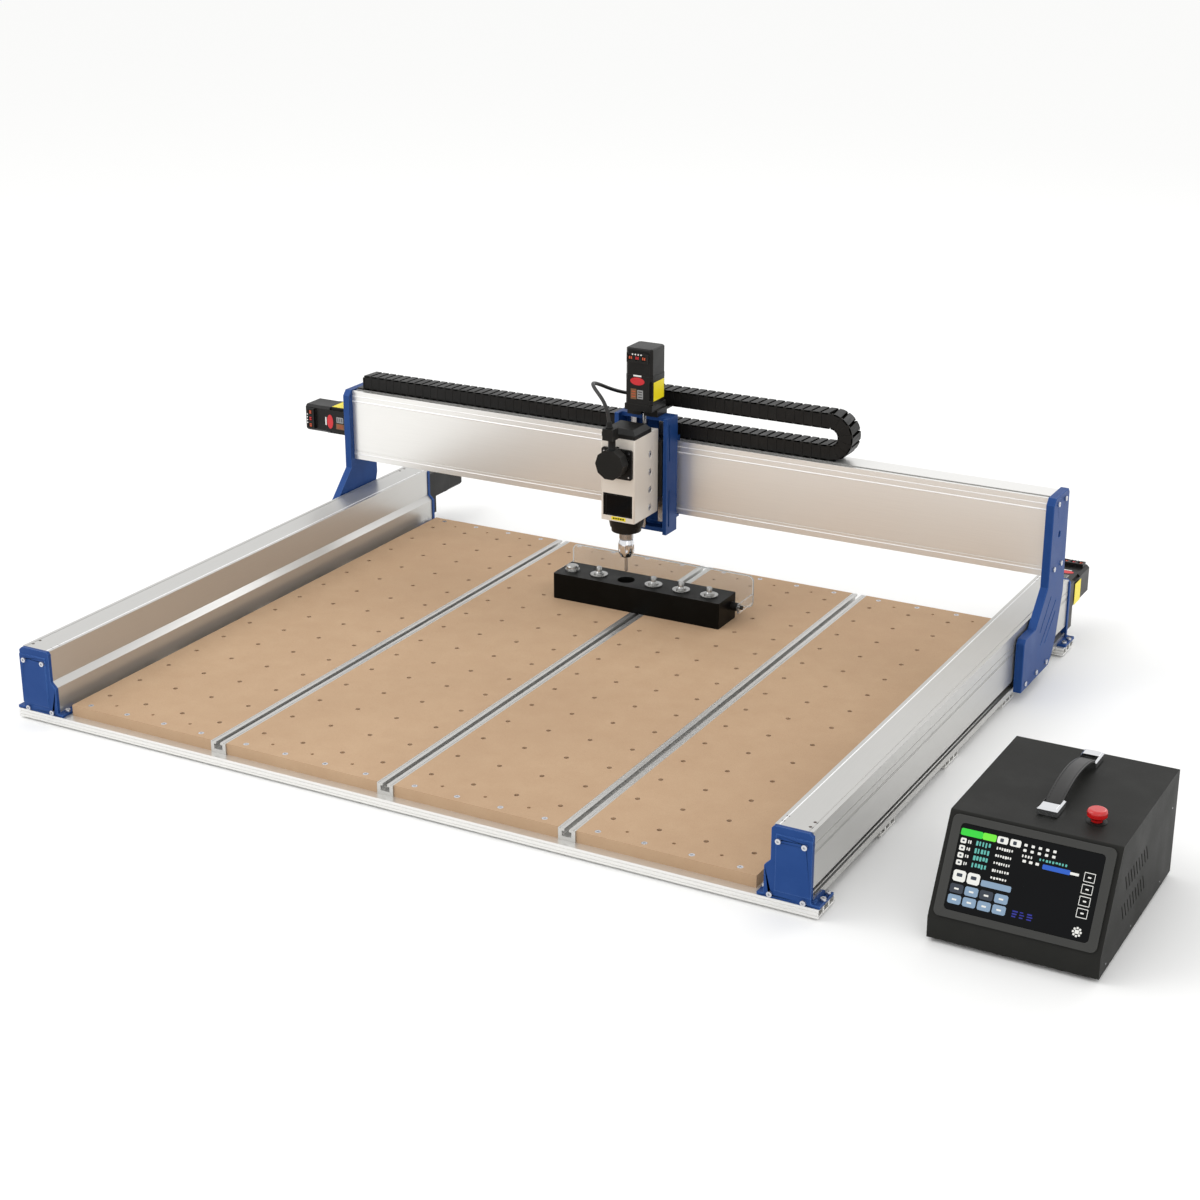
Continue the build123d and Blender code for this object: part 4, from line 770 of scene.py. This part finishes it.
z_low, z_high = corners("z_motor")
z_centre = Vector(((z_low.x + z_high.x) / 2, z_high.y - MOTOR_HALF, z_low.z))
x_low, x_high = corners("x_motor")
x_centre = Vector((x_high.x, x_high.y - MOTOR_HALF, (x_low.z + x_high.z) / 2))
y_high = corners("y_motors")[1]
MOTORS = {
    "z_motor": ("carriage", z_centre, UP, FRONT, (1, 0, 0)),
    "x_motor": ("gantry", x_centre, (-1, 0, 0), FRONT, UP),
}
for hand, out in (("right", 1), ("left", -1)):
    y_centre = Vector((out * (y_high.x - MOTOR_HALF), y_high.y - MOTOR_LONG, Y_MOTOR_Z))
    MOTORS[hand + "_y_motor"] = ("base", y_centre, (0, 1, 0), UP, (out, 0, 0))
for name, (body, *setting) in MOTORS.items():
    motor_dress(name + "_prints", body, *setting)
print("prints and sockets laid on", len(MOTORS), "motors")

# %% [markdown]
# ## Spindle head
# Four screws sit in the round pockets on each side of the spindle housing. The socket plate is
# held by corner screws, the plug's gland is ribbed for the fingers, and a yellow warning strip
# lies under the window. The strip has bars only, no words.

# %% Spindle head
body_low, body_high = corners("spindle_body")
plug_low, plug_high = corners("plug_base")
window_low, window_high = corners("spindle_window")
head_x = (body_low.x + body_high.x) / 2
shape = bmesh.new()
for side in (-1, 1):
    face_x = head_x + side * ((body_high.x - body_low.x) / 2 - 2 * MM)
    for i in range(4):
        spot = Vector((face_x, body_high.y - 31 * MM, body_high.z - (42 + i * 35) * MM))
        add_turned(shape, spot, (side, 0, 0), [(0, 6.8 * MM), (0.5 * MM, 6.8 * MM)], 28)
        add_turned(shape, spot, (side, 0, 0),
                   [(0, 4.2 * MM), (1.4 * MM, 4.2 * MM), (1.9 * MM, 3.4 * MM)], 24)
        # A black hexagon on each steel head is painted shade in its socket.
        add_disc(shape, spot + Vector((side * 1.8 * MM, 0, 0)), (side, 0, 0), 2.1 * MM, 0.2 * MM,
                 1, 6)
for corner_x in (plug_low.x + 6 * MM, plug_high.x - 6 * MM):
    for corner_z in (plug_low.z + 6 * MM, plug_high.z - 6 * MM):
        spot = Vector((corner_x, body_low.y - 5 * MM, corner_z))
        add_turned(shape, spot, FRONT, [(0, 3 * MM), (1 * MM, 3 * MM), (1.5 * MM, 2.2 * MM)],
                   20, 1)
        add_disc(shape, spot + FRONT * (1.4 * MM), FRONT, 1.3 * MM, 0.2 * MM, 0, 6)
new_piece("spindle_screws", shape, [bolt_steel, screw_black], "spindle")



def front_patch(shape, centre, wide, tall, thick, index):
    """A thin rectangle on a face that looks to the front."""
    add_patch(shape, centre, X_WAY, UP, FRONT, wide, tall, thick, index)


shape = bmesh.new()
strip_at = Vector((head_x + 2 * MM, body_low.y - 0.02 * MM, window_low.z - 4.6 * MM))
front_patch(shape, strip_at, 30 * MM, 6.6 * MM, THIN, YELLOW)
for i in range(5):
    bar = strip_at + Vector((-10 * MM + i * 5 * MM, -THIN, 0))
    front_patch(shape, bar, 3.4 * MM, 3.2 * MM, 0.1 * MM, BLACK)
frame_x = (window_high.x - window_low.x) / 2
frame_z = (window_high.z - window_low.z) / 2
window_mid = Vector((head_x, body_low.y + 0.35 * MM, (window_low.z + window_high.z) / 2))
for shift_x, shift_z, wide, tall in ((-frame_x + 6 * MM, 0, 1.0, 2 * frame_z / MM - 3),
                                     (0, frame_z - 2 * MM, 2 * frame_x / MM - 3, 1.0),
                                     (0, -frame_z + 2 * MM, 2 * frame_x / MM - 3, 1.0),
                                     (frame_x - 2 * MM, 0, 1.0, 2 * frame_z / MM - 3)):
    front_patch(shape, window_mid + Vector((shift_x, 0, shift_z)), wide * MM, tall * MM,
                0.25 * MM, BLACK)
new_piece("spindle_strip", shape, INKS, "spindle")

shape = bmesh.new()
gland_at = Vector((lead_points[0][0], lead_points[0][1], 0.405))
add_turned(shape, gland_at, UP, [(0, 7.5 * MM), (2 * MM, 7.5 * MM), (2.6 * MM, 6 * MM),
           (9 * MM, 5.2 * MM), (12 * MM, 4.2 * MM)], 12)
disc_mid = Vector((head_x, plug_low.y, (plug_low.z + plug_high.z) / 2 + 5 * MM))
for i in range(10):
    turn = 2 * math.pi * (i + 0.5) / 10
    ray = Vector((math.cos(turn), 0, math.sin(turn)))
    rib = disc_mid + ray * (25.5 * MM) + Y_WAY * (4 * MM)
    add_prism(shape, [rib + ray.cross(Y_WAY) * (w * MM) + ray * (h * MM)
                      for w, h in ((-3, 0), (3, 0), (2, 1.9), (-2, 1.9))], (0, 14 * MM, 0))
new_piece("plug_gland", shape, [black_moulding], "spindle", bevel=0.3)
print("spindle head dressed")

# %% [markdown]
# ## Beads, screws and holes
# The extrusions carry thin beads in a near-white finish, a painted highlight along them, and black
# screws sit near their ends.
# The boards' holes get a darker ring round their rims: painted shade at the edge of each hole.

# %% Beads along the beam and the rails
cover_low, cover_high = corners("gantry_cover")
rail_low, rail_high = corners("y_rails")
rail_in, rail_out = 678 * MM, rail_high.x
shape = bmesh.new()


def add_bead(shape, start, run, radius, out):
    """A thin half-round bead along run, standing out of the face that looks along out."""
    run, out = Vector(run), Vector(out)
    across = run.cross(out).normalized()
    outline = [Vector(start) + across * radius * math.cos(turn) + out * radius * math.sin(turn)
               for turn in [math.pi * i / 6 for i in range(7)]]
    add_prism(shape, outline, run)


for z, radius in ((cover_high.z - 11 * MM, 1.2), (cover_high.z - 22 * MM, 1.7),
                  (cover_low.z + 11 * MM, 1.3)):
    add_bead(shape, (cover_low.x + 0.1 * MM, cover_low.y + 0.7 * MM, z),
             (cover_high.x - cover_low.x - 0.2 * MM, 0, 0), radius * MM, FRONT)
new_piece("cover_beads", shape, [painted_highlight_bead], "gantry")

shape = bmesh.new()
for side in (-1, 1):
    add_bead(shape, (side * (rail_in + 7 * MM), rail_low.y + 0.1 * MM, rail_high.z - 0.7 * MM),
             (0, rail_high.y - rail_low.y - 0.2 * MM, 0), 1.2 * MM, UP)
new_piece("rail_beads", shape, [painted_highlight_bead], "base")

# %% Black screws of the rails and the beam
shape = bmesh.new()
END_SCREWS = (14 * MM, 31 * MM)
for side in (-1, 1):
    for x in (rail_in + 7 * MM, rail_out - 11 * MM):
        for inset in END_SCREWS:
            for y in (rail_low.y + inset, rail_high.y - inset):
                spot = Vector((side * x, y, rail_high.z - 0.9 * MM))
                add_turned(shape, spot, UP,
                           [(0, 4.6 * MM), (0.7 * MM, 4.6 * MM), (0.88 * MM, 4.3 * MM)], 24)
                add_disc(shape, spot + UP * (0.88 * MM), UP, 2.1 * MM, 0.01 * MM,
                         1, 6)
new_piece("rail_top_screws", shape, [screw_black, hole_shade], "base")

shape = bmesh.new()
for side in (-1, 1):
    for inset, height in ((52, cover_high.z - 16 * MM), (52, cover_low.z + 14 * MM),
                          (38, (cover_low.z + cover_high.z) / 2)):
        spot = Vector((side * (cover_high.x - inset * MM), cover_low.y + 0.35 * MM, height))
        add_turned(shape, spot, FRONT,
                   [(0, 2.0 * MM), (0.3 * MM, 2.0 * MM), (0.34 * MM, 1.7 * MM)], 16)
new_piece("cover_screws", shape, [screw_black], "gantry")

# %% Painted shade round the board holes
board_low, board_high = corners("spoilboards")
shape = bmesh.new()
HOLE_PITCH, HOLE_R, TRACK = 79.3 * MM, 3.0 * MM, 30.0 * MM
panel = ((board_high.x - board_low.x) - 3 * TRACK) / 4
first_row = board_low.y + 63 * MM
rows = int((board_high.y - 45 * MM - first_row) / HOLE_PITCH) + 1
for index in range(4):
    middle = board_low.x + panel / 2 + index * (panel + TRACK) - 1.5 * MM
    for column in range(4):
        for row in range(rows):
            x = middle + (column - 1.5) * HOLE_PITCH
            y = first_row + row * HOLE_PITCH
            rim_centre = (x, y, board_high.z + 0.03 * MM)
            join_rings(shape, [new_ring(shape, circle(rim_centre, X_WAY, Y_WAY, radius, 18))
                               for radius in (HOLE_R + 1.0 * MM, HOLE_R + 0.05 * MM)])
new_piece("hole_rims", shape, [hole_shade], "base")
print("beads, screws and hole rims added")

# %% [markdown]
# ## Rack cover and setter
# Sawn acrylic edges look frosted, which is what shows a clear panel. The touch setter gets a
# pale round button.

# %% Rack cover edges, hinge caps and setter
panel_low, panel_high = corners("rack_cover")
edge_y = panel_high.y - 3 * MM
shape = bmesh.new()


def rounded(x0, z0, x1, z1, radius, inset):
    """The outline of a rounded panel as (x, z) points."""
    points = []
    for cx, cz, start in ((x1, z1, 0), (x0, z1, 90), (x0, z0, 180), (x1, z0, 270)):
        sx, sz = (1 if cx == x1 else -1), (1 if cz == z1 else -1)
        for i in range(7):
            turn = math.radians(start + 15 * i)
            points.append((cx - sx * radius + (radius - inset) * math.cos(turn),
                           cz - sz * radius + (radius - inset) * math.sin(turn)))
    return points


PANEL_Z, HINGE_Y, HINGE_Z = 46 * MM, 330 * MM, 66 * MM
outer, inner = [rounded(panel_low.x, PANEL_Z, panel_high.x, panel_high.z, 12 * MM, inset)
                for inset in (0.1 * MM, 1.6 * MM)]
for y in (edge_y - 0.15 * MM, edge_y + 2.9 * MM):
    join_rings(shape, [new_ring(shape, [(x, y, z) for x, z in outline])
                       for outline in (outer, inner)])
new_piece("cover_edges", shape, [frosted_edge], "cover")

pin_low, pin_high = corners("cover_pins")
shape = bmesh.new()
for side, tip in ((-1, pin_low.x), (1, pin_high.x)):
    spot = Vector((tip - side * 1.2 * MM, HINGE_Y, HINGE_Z))
    add_turned(shape, spot, (side, 0, 0), [(0, 3.6 * MM), (0.8 * MM, 3.6 * MM), (1.1 * MM, 3 * MM)],
               20)
new_piece("cover_caps", shape, [chrome], "base")

setter_low, setter_high = corners("tool_setter")
setter_mid = (setter_low + setter_high) / 2
shape = bmesh.new()
add_turned(shape, (setter_mid.x, setter_mid.y, setter_high.z - 0.6 * MM), UP,
           [(0, 8.6 * MM), (0.4 * MM, 8.6 * MM), (0.55 * MM, 8 * MM)], 32)
new_piece("setter_button", shape, [frosted_edge], "base")
print("rack cover and setter dressed")

# %% [markdown]
# ## Console
# The screen shows a controller's page: a state bar, four axis rows, a keypad, a dark preview
# and outlined buttons down the right. It is made of thin lit patches with no lettering.

# %% Screen page
shell_low, shell_high = corners("console_shell")
CHIN, LEAN = 38.6 * MM, 73.0 * MM
rise = Vector((0, LEAN, shell_high.z - CHIN))
face_out = Vector((0, -rise.z, rise.y)).normalized()
PANE_WIDE, PANE_TALL, PANE_THICK = 206 * MM, 122 * MM, 2.4 * MM
face_mid = Vector(((shell_low.x + shell_high.x) / 2, shell_low.y, CHIN)) + rise / 2
pane_mid = face_mid + face_out * (PANE_THICK + 0.02 * MM)
up_slope = rise.normalized()
GREEN, TEAL, PALE, BLUE, NAVY, LIT, SHADE, BRIGHT = range(8)
PAGE = [lit_ink("page_" + name, tone(*colour), strength) for name, colour, strength in (
    ("green", (34, 180, 44), 0.35), ("teal", (80, 160, 150), 0.25),
    ("pale_blue", (118, 142, 165), 0.2), ("blue", (16, 74, 165), 0.35),
    ("navy", (16, 22, 110), 0.6), ("white", (205, 205, 200), 0.3),
    ("shade", (34, 42, 54), 0.25), ("lime", (96, 200, 44), 0.35))]
page_shape = bmesh.new()
page_random = random.Random(7)


def lay(u0, v0, u1, v1, index, level=1):
    """A lit rectangle of the page between two corners given as shares of the pane."""
    centre = pane_mid + Vector((((u0 + u1) / 2 - 0.5) * PANE_WIDE, 0, 0))
    centre = centre + up_slope * (((v0 + v1) / 2 - 0.5) * PANE_TALL)
    wide, tall = (u1 - u0) * PANE_WIDE / 2, (v1 - v0) * PANE_TALL / 2
    cut = min(wide, tall) * 0.3
    outline = [centre + Vector((x, 0, 0)) + up_slope * z
               for x, z in ((cut - wide, -tall), (wide - cut, -tall), (wide, cut - tall),
                            (wide, tall - cut), (wide - cut, tall), (cut - wide, tall),
                            (-wide, tall - cut), (-wide, cut - tall))]
    add_prism(page_shape, outline, face_out * (level * 0.08 * MM), index)


def dashes(u0, v0, u1, v1, index, count):
    """A row of short uneven bars, as a line of figures looks from afar."""
    step = (u1 - u0) / count
    for i in range(count):
        wide = step * page_random.uniform(0.45, 0.8)
        low = v0 + (v1 - v0) * page_random.uniform(0.0, 0.3)
        lay(u0 + i * step, low, u0 + i * step + wide, v1, index)


lay(0.005, 0.865, 0.16, 0.945, GREEN)
lay(0.16, 0.865, 0.255, 0.945, BRIGHT)
for u in (0.262, 0.352):
    lay(u, 0.865, u + 0.075, 0.945, LIT)
    lay(u + 0.02, 0.882, u + 0.045, 0.925, SHADE, 2)
for row in range(4):
    v = 0.775 - row * 0.085
    lay(0.015, v, 0.055, v + 0.06, LIT)
    lay(0.027, v + 0.02, 0.043, v + 0.04, SHADE, 2)
    dashes(0.068, v + 0.008, 0.095, v + 0.048, LIT, 2)
    dashes(0.125, v, 0.235, v + 0.06, TEAL, 5)
    dashes(0.27, v + 0.012, 0.39, v + 0.045, LIT, 7)
dashes(0.27, 0.45, 0.39, 0.478, LIT, 6)
for row, count in ((0.895, 5), (0.835, 5)):
    for i in range(count):
        lay(0.45 + i * 0.05, row, 0.45 + i * 0.05 + 0.022, row + 0.03, LIT)
dashes(0.45, 0.77, 0.53, 0.8, LIT, 4)
dashes(0.57, 0.77, 0.77, 0.8, TEAL, 9)
for i in range(3):
    lay(0.46 + i * 0.045, 0.715, 0.46 + i * 0.045 + 0.024, 0.745, LIT)
for u in (0.015, 0.115):
    lay(u, 0.335, u + 0.088, 0.465, LIT)
    lay(u + 0.024, 0.39, u + 0.064, 0.43, SHADE, 2)
lay(0.215, 0.345, 0.425, 0.415, PALE)
for row in range(2):
    for column in range(4):
        u, v = 0.012 + column * 0.105, 0.2 - row * 0.125
        tint = SHADE if (row == 0 and column in (0, 2)) else PALE
        lay(u, v, u + 0.093, v + 0.105, tint)
        lay(u + 0.03, v + 0.04, u + 0.062, v + 0.06, LIT, 2)
lay(0.6, 0.69, 0.79, 0.745, BLUE)
lay(0.79, 0.7, 0.85, 0.73, LIT)
for v in (0.145, 0.115, 0.085):
    dashes(0.465, v, 0.62, v + 0.018, NAVY, 3)
for i in range(4):
    v = 0.66 - i * 0.135
    for u0, v0, u1, v1 in ((0.885, v, 0.96, v + 0.008), (0.885, v + 0.1, 0.96, v + 0.108),
                           (0.885, v, 0.889, v + 0.108), (0.956, v, 0.96, v + 0.108)):
        lay(u0, v0, u1, v1, LIT)
    lay(0.912, v + 0.045, 0.934, v + 0.062, LIT)
for i in range(8):
    turn = math.pi * i / 4
    u, v = 0.915 + 0.026 * math.cos(turn), 0.095 + 0.045 * math.sin(turn)
    lay(u - 0.007, v - 0.012, u + 0.007, v + 0.012, LIT)
lay(0.901, 0.075, 0.929, 0.118, LIT)
new_piece("screen_page", page_shape, PAGE, "console")
print("page laid out on the screen")

# %% Console fittings
shape = bmesh.new()
stop_low, stop_high = corners("stop_button")
stop_mid = (stop_low + stop_high) / 2
ring_profile = [(0.02, 14.6), (1.0, 14.6), (1.6, 13.4), (1.6, 8.6), (0.02, 8.6)]
rings = [new_ring(shape, circle((stop_mid.x, stop_mid.y, shell_high.z + along * MM), X_WAY,
                                Y_WAY, radius * MM, 48)) for along, radius in ring_profile]
join_rings(shape, rings + rings[:1])
new_piece("stop_ring", shape, [black_moulding], "console")

SCREW_HEAD = [(0, 3.2 * MM), (0.36 * MM, 3.2 * MM), (0.6 * MM, 2.752 * MM)]
SCREW_SUNK = 0.62 * MM
shape = bmesh.new()
places = []
for side in (-1, 1):
    x = (shell_high.x if side > 0 else shell_low.x) - side * SCREW_SUNK
    for y, z in ((shell_low.y + 30 * MM, 0.016), (shell_low.y + 150 * MM, 0.016),
                 (shell_high.y - 60 * MM, 0.016), (shell_high.y - 24 * MM, 0.12)):
        places.append((Vector((x, y, z)), Vector((side, 0, 0))))
for x in (shell_low.x + 30 * MM, shell_high.x - 30 * MM):
    for z in (0.024, 0.15):
        places.append((Vector((x, shell_high.y - SCREW_SUNK, z)), Y_WAY))
for spot, out in places:
    add_turned(shape, spot, out, SCREW_HEAD, 20)
    add_disc(shape, spot + out * (0.6 * MM), out, 1.44 * MM, 0.05 * MM, 1, 6)
new_piece("console_screws", shape, [screw_black, bolt_steel], "console")

strap_low, strap_high = corners("strap")
strap_mid = (strap_low + strap_high) / 2
shape = bmesh.new()
LEVEL, HEIGHT, STITCHES = 0.184, 0.016, 24
half_run = (strap_high.y - strap_low.y) / 2
for side in (-1, 1):
    for i in range(STITCHES):
        share = (i + 0.5) / STITCHES * 2 - 1
        y = strap_mid.y + share * half_run * 0.92
        z = LEVEL + HEIGHT * (1 - (share * 0.92) ** 2) - 0.02 * MM
        x = strap_mid.x + side * 9.4 * MM
        add_prism(shape, [(x + i * 0.4 * MM, y + j * 2.2 * MM, z)
                          for i, j in ((-1, -1), (1, -1), (1, 1), (-1, 1))], UP * (0.35 * MM))
new_piece("strap_stitches", shape, [foot_rubber], "console")
print("console fittings added")
